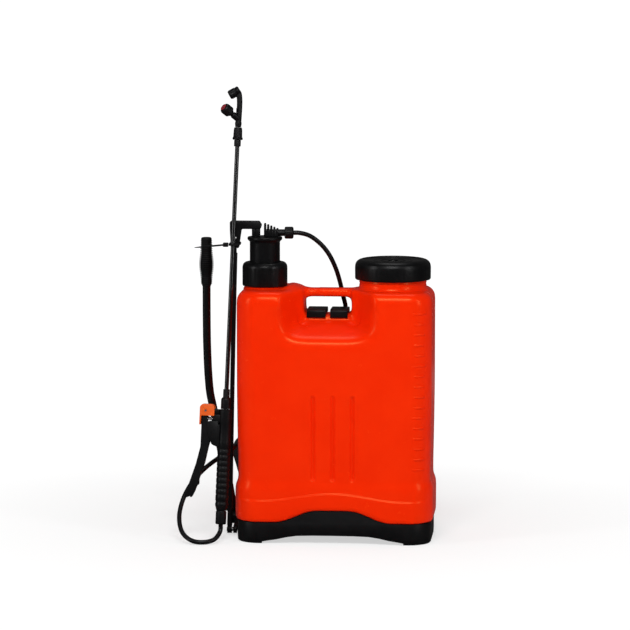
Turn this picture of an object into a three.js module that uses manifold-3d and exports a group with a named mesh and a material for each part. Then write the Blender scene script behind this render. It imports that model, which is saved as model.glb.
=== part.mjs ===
// Lever-operated knapsack sprayer of about 20 litres, with a moving pressure chamber. Millimetres.
// +Z is up, +X is the filler's side and +Y is the wearer's side, where the shoulder straps are.
// Pieces are drawn with the tank's middle at x = 0, y = 0 and the floor at z = 0. The last lines
// move the whole sprayer so that the middle of its footprint is the origin.
import * as THREE from "three";
import { mergeVertices } from "three/addons/utils/BufferGeometryUtils.js";
import Module from "manifold-3d";

const wasm = await Module();
wasm.setup();

// ---------------------------------------------------------------- driving dimensions
const gap = 0.3; // between two pieces that touch
const slack = 0.5; // between two pieces that move past each other
const through = 50; // how far a cut runs past the face that it opens

const tank = { halfWidth: 190, halfDepth: 96, corner: 45, top: 490, wall: 3, shoulder: 12 };
const side = -tank.halfWidth; // the pump's side, where the lever, the link and the lance are
const skirt = { flare: 3.5, top: 116, edge: 6 };
const handle = {
  middle: -15, halfGap: 46, floor: tank.top - 50, ceiling: tank.top - 17, corner: 8, bar: 16, lip: 28,
};
const scoop = { left: -85, right: 38, ledge: tank.top - 62, rim: tank.top - 92 };
const base = { inset: 1, wall: 4, sideTop: 41, crownTop: 65, archHalf: 115, crownHalf: 28 };
const foot = { width: 50, thick: 5, archTop: 16, archHalf: 70 };
const lug = { x: 165, halfWidth: 17, low: 22, high: 36, reach: tank.halfDepth + 7 };

const filler = { x: 110, neck: 65.7, wall: 4, rise: 40, skirtGap: 18, height: 40 };
const cap = { radius: filler.neck + 8.3, low: tank.top + filler.skirtGap };
const basket = { radius: filler.neck - 7.7, wall: 2, depth: 75, flange: filler.neck - 0.2, flangeThick: 2.2 };
const vent = { stem: 3, disc: 8 };

const pump = { x: -140, neck: 39, wall: 5, neckTop: tank.top + 32 };
const nut = { radius: pump.neck + 5, low: tank.top + 3, top: tank.top + 50 };
const barrel = { inner: 30.2, wall: 3.3, low: 60, floor: 4, port: 9, flange: 38, flangeThick: 3.7 };
const chamber = { radius: 25.5, wall: 2.5, low: 152, top: tank.top + 30 };
const head = {
  radius: barrel.inner - 0.7, skirtLow: tank.top + 10, neckTop: tank.top + 90, flange: 34,
  top: tank.top + 98.5,
};
const piston = { cupLow: chamber.low - 10, retainerLow: chamber.low - 24, retainer: 16 };
const outlet = {
  stub: 6.8, left: pump.x - 1, right: pump.x + 38.7, finThick: 2.2, finPitch: 5.6, z: head.top + 8,
};
const outletNut = { radius: 12, right: pump.x + 56 };
const arm = {
  low: head.top + 15, high: head.top + 30.5, right: pump.x - 6, left: side - 18, halfDepth: 8,
  pegX: pump.x - 19, peg: 7,
};
const armPin = { x: side - 8.5, z: head.top - 12.5, radius: 3 };

const shaft = { y: 45, z: 27, radius: 6, left: side - 23, right: tank.halfWidth - 5 };
const bush = { wall: 3, flange: 12, flangeThick: 2.5, length: 23 };
const crank = { inner: side - 6, plate: 7, hub: 14, arm: 50, droop: THREE.MathUtils.degToRad(20) };
const crankPin = { radius: 4, eye: 8, left: side - 26, linkX: side - 20.5, linkHalf: 4.5 };
const lever = {
  radius: 8, wall: 1.2, socketWall: 4, socketTop: 103, footX: side - 24.9, lean: 0.1774, foot: 60,
};
const grip = {
  x: side - 70, low: tank.top - 4, top: tank.top + 92, footRadius: 9.5, belly: 13.25, bellyUp: 38,
  topRadius: 10.25,
};
const link = { width: 10, thick: 8, eye: 9, eyeHalf: 3, play: 2.7 };

const lanceFoot = new THREE.Vector3(side - 28.2, -90, 35); // where the hose enters the hand piece
const lanceWay = new THREE.Vector3(18.458, 64.8, armPin.z - 36).normalize(); // up through the tie
const valve = { tailNut: 8.75, tailLength: 27, body: 12.8, bodyTop: 224, tongue: 4, tongueHalf: 4.5 };
const pivot = { x: -38, z: 220, pin: 2, eye: 7.5 };
const stem = { z: 205, radius: 2.6, spring: 4.6, out: -34, in: -6 };
const trigger = { halfThick: 8.5, tipLow: 50 };
const latch = { left: -49.5, right: -20.6, low: 210, top: 233, halfThick: 12, plate: 3 };
const collar = { radius: 10, top: 244, sleeve: 6.5, sleeveTop: 263 };
const lance = { radius: 4.3, wall: 1, low: 245, top: 770 };
const nozzle = {
  collet: 6.65, colletLow: lance.top - 35.4, nutLow: lance.top - 22.7, nut: 10, nutTop: lance.top + 2, pipe: 6,
};
const upperTip = { z: lance.top + 75, radius: 8.85, length: 18.6, stub: 5.5 };
const sideTip = { z: lance.top + 18, radius: 8.5, length: 14, stub: 5, start: 25 };

const tie = { z: armPin.z - 1, height: 4.6, thick: 1.4, front: -30.2, back: 10.4, tail: 61 };
const hose = { radius: 4.5, sides: 8, steps: 56 };
const strap = {
  hookWidth: 30, hookTop: handle.floor + 11, padWidth: 62, padThick: 13, webWidth: 38, webThick: 2.2,
};

// ---------------------------------------------------------------- finishes
const orangeTank = { color: 0xf62c02, roughness: 0.3, metalness: 0 };
const orangePlastic = { color: 0xf0641e, roughness: 0.4, metalness: 0 };
const redPlastic = { color: 0xb01c30, roughness: 0.4, metalness: 0 };
const blackPlastic = { color: 0x141416, roughness: 0.45, metalness: 0 };
const paintedTube = { color: 0x17171a, roughness: 0.35, metalness: 0.3 };
const blackRubber = { color: 0x1b1b1c, roughness: 0.8, metalness: 0 };
const steel = { color: 0xb9bcc0, roughness: 0.3, metalness: 0.9 };
const whitePlastic = { color: 0xdedcd4, roughness: 0.5, metalness: 0 };
const blackWebbing = { color: 0x202022, roughness: 0.9, metalness: 0 };

// ---------------------------------------------------------------- solids
function solidOf(geometry) {
  const loose = geometry.index ? geometry.toNonIndexed() : geometry;
  const bare = new THREE.BufferGeometry().setAttribute("position", loose.getAttribute("position"));
  const merged = mergeVertices(bare, 1e-3);
  const triVerts = new Uint32Array(merged.index.array);
  const vertProperties = merged.attributes.position.array;
  const made = new wasm.Manifold(new wasm.Mesh({ numProp: 3, vertProperties, triVerts }));
  if (made.volume() > 0) return made;
  return new wasm.Manifold(new wasm.Mesh({ numProp: 3, vertProperties, triVerts: triVerts.reverse() }));
}

function geometryOf(solid) {
  const mesh = solid.getMesh();
  const geometry = new THREE.BufferGeometry();
  geometry.setAttribute("position", new THREE.BufferAttribute(mesh.vertProperties, 3));
  geometry.setIndex(new THREE.BufferAttribute(mesh.triVerts, 1));
  geometry.computeVertexNormals();
  return geometry;
}

function block(x0, x1, y0, y1, z0, z1) {
  const geometry = new THREE.BoxGeometry(x1 - x0, y1 - y0, z1 - z0);
  return solidOf(geometry.translate((x0 + x1) / 2, (y0 + y1) / 2, (z0 + z1) / 2));
}

// A round bar between two points.
function bar(from, to, radius, sides = 20) {
  const start = new THREE.Vector3(...from);
  const way = new THREE.Vector3(...to).sub(start);
  const geometry = new THREE.CylinderGeometry(radius, radius, way.length(), sides);
  const turn = new THREE.Quaternion().setFromUnitVectors(THREE.Object3D.DEFAULT_UP, way.clone().normalize());
  const middle = start.addScaledVector(way, 0.5);
  return solidOf(geometry.applyQuaternion(turn).translate(middle.x, middle.y, middle.z));
}

const barX = (x0, x1, y, z, radius, sides) => bar([x0, y, z], [x1, y, z], radius, sides);

// A profile of [radius, height] points turned about the upright line through x, y.
function turned(profile, x = 0, y = 0, sides = 24) {
  const points = profile.map(([r, z]) => new THREE.Vector2(r, z));
  return solidOf(new THREE.LatheGeometry(points, sides).rotateX(Math.PI / 2).translate(x, y, 0));
}

// The same, with the profile's first and last points joined into a ring.
const ring = (profile, x, y, sides) => turned([...profile, profile[0]], x, y, sides);

function roundedOutline(halfWidth, halfDepth, radius, x = 0, y = 0) {
  const shape = new THREE.Shape();
  const corners = [[1, 1], [-1, 1], [-1, -1], [1, -1]];
  corners.forEach(([sx, sy], i) => {
    const start = (i * Math.PI) / 2;
    const cx = x + sx * (halfWidth - radius);
    shape.absarc(cx, y + sy * (halfDepth - radius), radius, start, start + Math.PI / 2);
  });
  return shape;
}

const outlineOf = (points) => new THREE.Shape(points.map(([u, v]) => new THREE.Vector2(u, v)));

// An outline in X and Y from z0 up to z1, its two ends rounded by edge.
function upright(shape, z0, z1, edge = 0, curveSegments = 5) {
  const bevel = { bevelEnabled: edge > 0, bevelThickness: edge, bevelSize: edge, bevelOffset: -edge };
  const options = { depth: z1 - z0 - 2 * edge, bevelSegments: 3, curveSegments, ...bevel };
  return solidOf(new THREE.ExtrudeGeometry(shape, options).translate(0, 0, z0 + edge));
}

// An outline in X and Z from y0 to y1.
function slabY(shape, y0, y1, curveSegments = 6) {
  const options = { depth: y1 - y0, bevelEnabled: false, curveSegments };
  return solidOf(new THREE.ExtrudeGeometry(shape, options).rotateX(Math.PI / 2).translate(0, y1, 0));
}

// An outline in Y and Z from x0 to x1.
function slabX(shape, x0, x1) {
  const axes = [new THREE.Vector3(0, 1, 0), new THREE.Vector3(0, 0, 1), new THREE.Vector3(1, 0, 0)];
  const geometry = new THREE.ExtrudeGeometry(shape, { depth: x1 - x0, bevelEnabled: false });
  return solidOf(geometry.applyMatrix4(new THREE.Matrix4().makeBasis(...axes)).translate(x0, 0, 0));
}

function curveThrough(points) {
  return new THREE.CatmullRomCurve3(points.map((p) => new THREE.Vector3(...p)), false, "centripetal");
}

// A round section swept along a smooth curve through the points.
function swept(points, radius, sides, steps) {
  const section = Array.from({ length: sides }, (_, i) => {
    const angle = (2 * Math.PI * i) / sides;
    return [radius * Math.cos(angle), radius * Math.sin(angle)];
  });
  const options = { steps, extrudePath: curveThrough(points), bevelEnabled: false };
  return solidOf(new THREE.ExtrudeGeometry(outlineOf(section), options));
}

// A flat band along a smooth curve, its width lying as near as it can to the direction across.
function ribbon(points, across, width, thick, steps) {
  const curve = curveThrough(points);
  const position = [];
  for (let i = 0; i <= steps; i += 1) {
    const at = curve.getPointAt(i / steps);
    const way = curve.getTangentAt(i / steps);
    const side = across.clone().addScaledVector(way, -across.dot(way)).normalize();
    const out = new THREE.Vector3().crossVectors(way, side);
    for (const [s, o] of [[-1, -1], [1, -1], [1, 1], [-1, 1]]) {
      const corner = at.clone().addScaledVector(side, (s * width) / 2).addScaledVector(out, (o * thick) / 2);
      position.push(...corner.toArray());
    }
  }
  const index = [0, 1, 2, 0, 2, 3];
  for (let i = 0; i < steps; i += 1) {
    for (let k = 0; k < 4; k += 1) {
      const [a, b] = [4 * i + k, 4 * i + ((k + 1) % 4)];
      index.push(a, a + 4, b, b, a + 4, b + 4);
    }
  }
  const last = 4 * steps;
  index.push(last, last + 2, last + 1, last, last + 3, last + 2);
  const geometry = new THREE.BufferGeometry().setIndex(index);
  return solidOf(geometry.setAttribute("position", new THREE.Float32BufferAttribute(position, 3)));
}

const joined = (...solids) => solids.reduce((sum, solid) => sum.add(solid));
const without = (solid, ...cuts) => cuts.reduce((rest, cut) => rest.subtract(cut), solid);

// ---------------------------------------------------------------- the scene
const sprayer = new THREE.Group();
const handPiece = new THREE.Group(); // its own +Z runs up the lance from the hose's end
handPiece.position.copy(lanceFoot);
handPiece.quaternion.setFromUnitVectors(new THREE.Vector3(0, 0, 1), lanceWay);
sprayer.add(handPiece);

function piece(name, solid, finish, parent = sprayer) {
  const mesh = new THREE.Mesh(geometryOf(solid), new THREE.MeshStandardMaterial(finish));
  mesh.name = name;
  parent.add(mesh);
}

// ---------------------------------------------------------------- tank and base
// The seam between base and tank rises in an arch to the middle of the front and back.
function belowSeam(raise) {
  const points = [[-300, -through], [-300, base.sideTop + raise]];
  const spans = 8;
  for (let i = 0; i <= 2 * spans; i += 1) {
    const x = base.archHalf * (i / spans - 1);
    const rise = Math.min(1, (base.archHalf - Math.abs(x)) / (base.archHalf - base.crownHalf));
    const height = (base.crownTop - base.sideTop) * (0.5 - 0.5 * Math.cos(Math.PI * rise));
    points.push([x, base.sideTop + raise + height]);
  }
  points.push([300, base.sideTop + raise], [300, -through]);
  return slabY(outlineOf(points), -200, 200);
}

// The hollow in front of the handle (side -1) or behind it (side 1), grown by a wall all round.
function handleScoop(side, grow) {
  const depth = tank.halfDepth + through;
  const slope = (scoop.ledge - scoop.rim) / (tank.halfDepth - handle.lip);
  const far = scoop.ledge - grow - slope * (depth - handle.lip);
  const high = tank.top + through;
  const near = handle.lip - grow;
  const outline = [[near, high], [near, scoop.ledge - grow], [depth, far], [depth, high]];
  return slabX(outlineOf(outline.map(([y, z]) => [side * y, z])), scoop.left - grow, scoop.right + grow);
}

function tankHollow() {
  const { halfWidth, halfDepth, corner, wall, shoulder } = tank;
  const inside = roundedOutline(halfWidth - wall, halfDepth - wall, corner - wall);
  const grip = handle.halfGap + wall;
  return without(
    upright(inside, 0, tank.top - wall, shoulder - wall),
    belowSeam(gap + wall),
    handleScoop(-1, wall),
    handleScoop(1, wall),
    block(handle.middle - grip, handle.middle + grip, -200, 200, handle.floor - wall, tank.top),
  );
}

function tankSolid() {
  const { halfWidth, halfDepth, corner, top, shoulder } = tank;
  const foot = skirt.flare;
  const flared = roundedOutline(halfWidth + foot, halfDepth + foot * 0.7, corner + foot * 0.7);
  const { middle, halfGap, floor, ceiling, bar: barHalf, lip } = handle;
  const [gapMiddle, gapHalf] = [(ceiling + floor) / 2, (ceiling - floor) / 2];
  const gapOutline = roundedOutline(halfGap, gapHalf, handle.corner, middle, gapMiddle);
  const barSide = (side) => {
    const [y0, y1] = [side * barHalf, side * (lip + 1)].sort((a, b) => a - b);
    return block(middle - halfGap, middle + halfGap, y0, y1, gapMiddle, top + through);
  };
  const shell = joined(
    upright(roundedOutline(halfWidth, halfDepth, corner), 0, top, shoulder),
    upright(flared, 0, skirt.top, skirt.edge),
  );
  const shaped = without(
    shell,
    belowSeam(gap),
    handleScoop(-1, 0),
    handleScoop(1, 0),
    slabY(gapOutline, -200, 200),
    barSide(-1),
    barSide(1),
  );
  const necked = joined(
    shaped,
    bar([pump.x, 0, top - tank.wall], [pump.x, 0, pump.neckTop], pump.neck, 24),
    bar([filler.x, 0, top - tank.wall], [filler.x, 0, top + filler.rise], filler.neck, 32),
  );
  return without(
    necked,
    tankHollow(),
    bar([pump.x, 0, top - through], [pump.x, 0, top + through], pump.neck - pump.wall, 24),
    bar([filler.x, 0, top - through], [filler.x, 0, top + through], filler.neck - filler.wall, 32),
  );
}

// An open shell on four foot pads, with a boss in each side wall for the lever's shaft.
function baseSolid() {
  const [halfWidth, halfDepth] = [tank.halfWidth - base.inset, tank.halfDepth - 2 * base.inset];
  const corner = tank.corner - 2 * base.inset;
  const { wall } = base;
  const body = upright(roundedOutline(halfWidth, halfDepth, corner), 0, tank.top / 2).intersect(belowSeam(0));
  const within = roundedOutline(halfWidth - wall, halfDepth - wall, corner - wall);
  const hollow = upright(within, foot.thick, tank.top / 2).intersect(belowSeam(-wall));
  const { width, thick, archTop, archHalf } = foot;
  const inner = halfWidth - width;
  const arch = [
    [-inner, -1], [-inner, thick], [-archHalf, archTop], [archHalf, archTop], [inner, thick], [inner, -1],
  ];
  const opening = block(-inner, inner, wall - halfDepth, halfDepth - wall, -1, base.sideTop - wall);
  const shell = without(body, hollow, slabY(outlineOf(arch), -200, 200), opening);
  const lugs = [-1, 1].map((side) => {
    const x = side * lug.x;
    return block(x - lug.halfWidth, x + lug.halfWidth, halfDepth - corner / 4, lug.reach, lug.low, lug.high);
  });
  const bore = shaft.radius + gap + bush.wall;
  const bossLength = bush.length + wall;
  const bosses = [-1, 1].map((side) => {
    const [a, b] = [side * (halfWidth - bossLength), side * (halfWidth - 1)];
    return barX(a, b, shaft.y, shaft.z, bore + wall).intersect(belowSeam(0));
  });
  return without(
    joined(shell, ...bosses, ...lugs),
    barX(-halfWidth - 1, bossLength - halfWidth + 1, shaft.y, shaft.z, bore),
    barX(halfWidth - bossLength - 1, halfWidth - wall + 1, shaft.y, shaft.z, bore),
  );
}

function tankAndBase() {
  piece("tank", tankSolid(), orangeTank);
  piece("base", baseSolid(), blackPlastic);
  const wallX = tank.halfWidth - base.inset;
  const bore = (x0, x1) => barX(x0, x1, shaft.y, shaft.z, shaft.radius + gap);
  const outer = shaft.radius + bush.wall;
  const sleeve = barX(-wallX - gap, bush.length - wallX, shaft.y, shaft.z, outer);
  const collarX = -wallX - gap;
  const flange = barX(collarX - bush.flangeThick, collarX, shaft.y, shaft.z, bush.flange);
  const leftBush = without(joined(sleeve, flange), bore(-wallX - 10, 10 - wallX + bush.length));
  piece("shaft_bush_left", leftBush, blackPlastic);
  const right = barX(wallX - bush.length, wallX - base.wall + gap, shaft.y, shaft.z, outer);
  piece("shaft_bush_right", without(right, bore(wallX - bush.length - 10, wallX + 10)), blackPlastic);
}

// ---------------------------------------------------------------- filler
function fillerPieces() {
  const { x, neck, rise, height } = filler;
  const capTop = cap.low + height;
  const { radius, wall, depth, flange, flangeThick } = basket;
  const seat = tank.top + rise + gap;
  const low = seat - depth;
  const basketProfile = [
    [0, low], [radius - 6, low], [radius, low + 6], [radius, seat], [flange, seat],
    [flange, seat + flangeThick], [radius - wall, seat + flangeThick], [radius - wall, low + 6 + wall],
    [radius - 6 - wall, low + wall], [0, low + wall],
  ];
  piece("strainer_basket", turned(basketProfile, x, 0, 24), whitePlastic);
  const gasketLow = seat + flangeThick + gap;
  const gasketTop = gasketLow + 4;
  const gasket = [[radius, gasketLow], [flange, gasketLow], [flange, gasketTop], [radius, gasketTop]];
  piece("cap_gasket", ring(gasket, x, 0, 24), blackRubber);
  const under = gasketTop + gap;
  const inner = neck + 1.3;
  const capProfile = [
    [vent.stem + gap, under], [inner, under], [inner, cap.low], [cap.radius - 1.5, cap.low],
    [cap.radius, cap.low + 1.5], [cap.radius, capTop - 10], [cap.radius - 4, capTop - 3.5],
    [cap.radius - 12, capTop], [vent.stem + gap, capTop],
  ];
  piece("filler_cap", ring(capProfile, x, 0, 32), blackPlastic);
  const disc = under - gap;
  const ventProfile = [
    [0, disc - 3], [vent.disc, disc - 3], [vent.disc, disc], [vent.stem, disc], [vent.stem, capTop - 1],
    [0, capTop - 1],
  ];
  piece("cap_vent_valve", turned(ventProfile, x, 0, 16), blackRubber);
}

// ---------------------------------------------------------------- pump
function pumpFixedPieces() {
  const { x, neckTop, neck } = pump;
  const { inner, low, floor, port, flange, flangeThick } = barrel;
  const outer = inner + barrel.wall;
  const seat = neckTop + gap;
  const flangeTop = seat + flangeThick;
  const barrelProfile = [
    [port, low], [outer, low], [outer, seat], [flange, seat], [flange, flangeTop], [inner, flangeTop],
    [inner, low + floor], [port, low + floor],
  ];
  piece("pump_barrel", ring(barrelProfile, x, 0, 24), whitePlastic);
  const gasketTop = flangeTop + gap + 2.7;
  const gasketLow = flangeTop + gap;
  const gasket = [[inner + 1, gasketLow], [flange, gasketLow], [flange, gasketTop], [inner + 1, gasketTop]];
  piece("nut_gasket", ring(gasket, x, 0, 24), blackRubber);
  const under = gasketTop + gap;
  const thread = neck + 2 * gap;
  const nutProfile = [
    [thread, nut.low], [nut.radius, nut.low], [nut.radius, nut.top - 10], [nut.radius - 1.5, nut.top - 4],
    [nut.radius - 6, nut.top], [inner, nut.top], [inner, under], [thread, under],
  ];
  piece("pump_nut", ring(nutProfile, x, 0, 28), blackPlastic);
  const leaf = low + floor + gap;
  const footProfile = [
    [0, low - 4], [4, low - 4], [4, leaf], [port + 4, leaf], [port + 4, leaf + 2.2], [0, leaf + 2.2],
  ];
  piece("foot_valve", turned(footProfile, x, 0, 16), blackRubber);
  const cup = outer - 3.5;
  const cupTop = low - gap;
  const cupProfile = [
    [0, low - 12], [cup, low - 12], [cup, cupTop], [cup - 3, cupTop], [cup - 3, low - 9], [0, low - 9],
  ];
  piece("suction_strainer", turned(cupProfile, x, 0, 24), whitePlastic);
}

function chamberPieces() {
  const { x } = pump;
  const { radius, wall, low, top } = chamber;
  const bore = radius - wall;
  const tube = [[bore, low], [radius, low], [radius, top], [bore, top]];
  piece("pressure_chamber", ring(tube, x, 0, 24), whitePlastic);
  const socket = radius + gap;
  const headProfile = [
    [0, head.neckTop - 4], [bore, head.neckTop - 4], [bore, top + gap], [socket, top + gap],
    [socket, head.skirtLow], [head.radius, head.skirtLow], [head.radius, head.neckTop],
    [head.flange, head.neckTop + 3], [head.flange, head.top], [0, head.top],
  ];
  piece("chamber_head", turned(headProfile, x, 0, 28), blackPlastic);
  const cupTop = low - gap;
  const lipRadius = barrel.inner - gap;
  const cup = [[bore - 9, piston.cupLow], [lipRadius, piston.cupLow], [lipRadius, cupTop], [bore - 9, cupTop]];
  piece("piston_cup", ring(cup, x, 0, 24), blackRubber);
  const retainerTop = piston.cupLow - gap;
  const retainer = [
    [5, piston.retainerLow], [piston.retainer, piston.retainerLow], [piston.retainer, retainerTop],
    [5, retainerTop],
  ];
  piece("piston_retainer", ring(retainer, x, 0, 16), blackPlastic);
}

// The outlet bends from the chamber's head towards the filler, between five upright stiffening fins.
function outletPieces() {
  const { left, right, stub, z, finThick, finPitch } = outlet;
  const low = head.top + gap;
  const saddle = block(left, left + 25, -arm.halfDepth, arm.halfDepth, low, z);
  const fins = Array.from({ length: 5 }, (_, i) => {
    const x = left + 0.5 + i * finPitch;
    return block(x, x + finThick, -8, 8, low, head.top + 24.5 - 2.2 * i);
  });
  piece("outlet_elbow", joined(saddle, barX(left + 8, right, 0, z, stub), ...fins), blackPlastic);
  piece("outlet_nut", barX(right + gap, outletNut.right, 0, z, outletNut.radius, 24), blackPlastic);
}

// The two edges of the arm's leg, which tapers downwards to its fork.
const legFoot = armPin.z - 10;
const legDrop = (z) => Math.max(0, arm.low - z) / (arm.low - legFoot);
const legLeft = (z) => arm.left + 2 * legDrop(z);
const legRight = (z) => arm.left + 23 - 6 * legDrop(z);

// A bar across the head carries a forked leg down the tank's side, where the link hangs on a pin.
function armPieces() {
  const { low, high, right, left, halfDepth, pegX, peg } = arm;
  const leg = [
    [left, high], [left, low], [legLeft(legFoot), legFoot], [legRight(legFoot), legFoot], [legRight(low), low],
    [legRight(low), high],
  ];
  const solid = joined(
    block(left, right, -halfDepth, halfDepth, low, high),
    slabY(outlineOf(leg), -halfDepth, halfDepth),
    bar([pegX, 0, head.top + gap], [pegX, 0, low + 1], peg),
  );
  const slot = link.eyeHalf + slack;
  const forkTop = armPin.z + link.eye + link.play;
  const fork = block(armPin.x - slot, armPin.x + slot, -through, through, armPin.z - 20, forkTop);
  const hole = barX(left - 5, left + 30, 0, armPin.z, armPin.radius + gap, 16);
  piece("pump_arm", without(solid, fork, hole), blackPlastic);
  piece("arm_pin", barX(left + 2.1, left + 16.9, 0, armPin.z, armPin.radius, 16), steel);
}

// ---------------------------------------------------------------- lever, crank and link
const pinY = shaft.y - crank.arm * Math.cos(crank.droop);
const pinZ = shaft.z - crank.arm * Math.sin(crank.droop);
const leverX = (z) => lever.footX - lever.lean * (z - lever.foot); // the lower, leaning part
const leverPath = [
  [leverX(lever.foot), shaft.y, lever.foot],
  [leverX(150), shaft.y, 150],
  [leverX(240), shaft.y, 240],
  [grip.x + 6.5, shaft.y, 272],
  [grip.x + 3, shaft.y, 310],
  [grip.x + 0.6, shaft.y, 370],
  [grip.x, shaft.y, 430],
  [grip.x, shaft.y, grip.low],
  [grip.x, shaft.y, grip.top - 6],
];

function crankSolid() {
  const { inner, plate, hub } = crank;
  const outline = outlineOf([
    [shaft.y, shaft.z + hub - 1], [pinY, pinZ + crankPin.eye], [pinY, pinZ - crankPin.eye],
    [shaft.y, shaft.z - hub + 1],
  ]);
  const start = shaft.z + 3;
  const socket = lever.radius + lever.socketWall;
  const solid = joined(
    barX(shaft.left, inner, shaft.y, shaft.z, hub, 24),
    slabX(outline, inner - plate, inner),
    barX(inner - plate, inner, pinY, pinZ, crankPin.eye),
    bar([leverX(start), shaft.y, start], [leverX(lever.socketTop), shaft.y, lever.socketTop], socket, 20),
  );
  return without(
    solid,
    barX(2 * side, 0, shaft.y, shaft.z, shaft.radius + gap),
    barX(2 * side, 0, pinY, pinZ, crankPin.radius + gap, 16),
    bar([leverX(lever.foot - gap), shaft.y, lever.foot - gap], [leverX(130), shaft.y, 130], lever.radius + gap, 20),
    block(2 * side, shaft.left, -through, 200, 0, shaft.z + hub - 2),
  );
}

function leverPieces() {
  piece("crank", crankSolid(), blackPlastic);
  piece("crank_pin", barX(crankPin.left, crank.inner - gap, pinY, pinZ, crankPin.radius, 16), steel);
  piece("lever_shaft", barX(shaft.left, shaft.right - gap, shaft.y, shaft.z, shaft.radius), steel);
  piece("shaft_bolt", barX(shaft.left - gap - 6, shaft.left - gap, shaft.y, shaft.z, shaft.radius + 3.5, 6), steel);
  const [first, last] = [leverPath[0], leverPath.at(-1)];
  const bore = [[first[0] + 2, shaft.y, first[2] - 11], ...leverPath, [last[0], shaft.y, last[2] + 10]];
  const tube = without(
    swept(leverPath, lever.radius, 14, 15),
    swept(bore, lever.radius - lever.wall, 10, 16),
  );
  piece("lever_tube", tube, paintedTube);
  const { low, top, footRadius, belly, bellyUp, topRadius } = grip;
  const hole = lever.radius + 2 * gap;
  const closed = top - 5;
  const profile = [
    [hole, low], [footRadius, low], [footRadius + 0.8, low + 12], [belly, low + bellyUp],
    [belly - 0.8, low + bellyUp + 20], [topRadius, top - 6], [topRadius - 2, top], [0, top], [0, closed],
    [hole, closed],
  ];
  piece("lever_grip", ring(profile, grip.x, shaft.y, 24), blackRubber);
  linkPiece();
}

function linkPiece() {
  const { width, thick, eye, eyeHalf, play } = link;
  const topY = play - 2.05;
  const [lowX, highX] = [crankPin.linkX, armPin.x];
  const rod = new THREE.Vector3(highX - lowX, topY - pinY, armPin.z - pinZ);
  const across = new THREE.Vector3(1, 0, 0);
  const start = new THREE.Vector3(lowX, pinY, pinZ).addScaledVector(rod, 0.012);
  const end = new THREE.Vector3(lowX, pinY, pinZ).addScaledVector(rod, 0.975);
  const [back, front] = [topY - thick / 2, topY + thick / 2];
  const tongue = block(highX - eyeHalf, highX + eyeHalf, back, front, armPin.z - 24, armPin.z);
  const solid = joined(
    ribbon([start.toArray(), end.toArray()], across, width, thick, 1),
    barX(lowX - crankPin.linkHalf, lowX + crankPin.linkHalf, pinY, pinZ, crankPin.eye),
    tongue,
    barX(highX - eyeHalf, highX + eyeHalf, topY, armPin.z, eye),
  );
  const holes = [
    barX(lowX - 20, lowX + 20, pinY, pinZ, crankPin.radius + slack, 16),
    barX(highX - 20, highX + 20, topY, armPin.z, armPin.radius + play, 16),
    block(highX - 20, highX - eyeHalf, -through, through, armPin.z - 12, armPin.z + 20),
    block(highX + eyeHalf, highX + 20, -through, through, armPin.z - 12, armPin.z + 20),
  ];
  piece("link_rod", without(solid, ...holes), blackPlastic);
}

// ---------------------------------------------------------------- hand piece, lance and nozzles
function valvePieces() {
  const { tailNut, tailLength, body, bodyTop, tongue, tongueHalf } = valve;
  piece("hose_tail_nut", bar([0, 0, 0], [0, 0, tailLength], tailNut, 12), blackPlastic, handPiece);
  const low = tailLength + gap;
  const barrelProfile = [[0, low], [body - 2.8, low], [body, low + 12], [body, bodyTop], [0, bodyTop]];
  const boss = stem.spring + 3.4;
  const solid = joined(
    turned(barrelProfile, 0, 0, 24),
    block(pivot.x, 0, -tongueHalf, tongueHalf, pivot.z - tongue, pivot.z + tongue),
    bar([pivot.x, -tongueHalf, pivot.z], [pivot.x, tongueHalf, pivot.z], pivot.eye - 1.5),
    block(-22, 0, -boss, boss, stem.z - boss, stem.z + boss),
  );
  const cuts = [
    barX(-30, stem.in + 5, 0, stem.z, stem.spring + gap, 16),
    bar([pivot.x, -20, pivot.z], [pivot.x, 20, pivot.z], pivot.pin + gap, 12),
  ];
  piece("valve_body", without(solid, ...cuts), blackPlastic, handPiece);
  const stemSolid = joined(
    barX(stem.out + 1, stem.in, 0, stem.z, stem.radius, 12),
    barX(stem.out, stem.out + 1.2, 0, stem.z, stem.spring, 16),
  );
  piece("valve_stem", stemSolid, steel, handPiece);
  const springSpan = [stem.out + 1.2 + gap, stem.in - 5];
  const coil = barX(...springSpan, 0, stem.z, stem.spring, 16);
  const core = barX(-60, 20, 0, stem.z, stem.radius + gap, 12);
  piece("valve_spring", without(coil, core), steel, handPiece);
  const reach = latch.halfThick + 0.5;
  piece("trigger_pin", bar([pivot.x, -reach, pivot.z], [pivot.x, reach, pivot.z], pivot.pin, 12), steel, handPiece);
}

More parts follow.
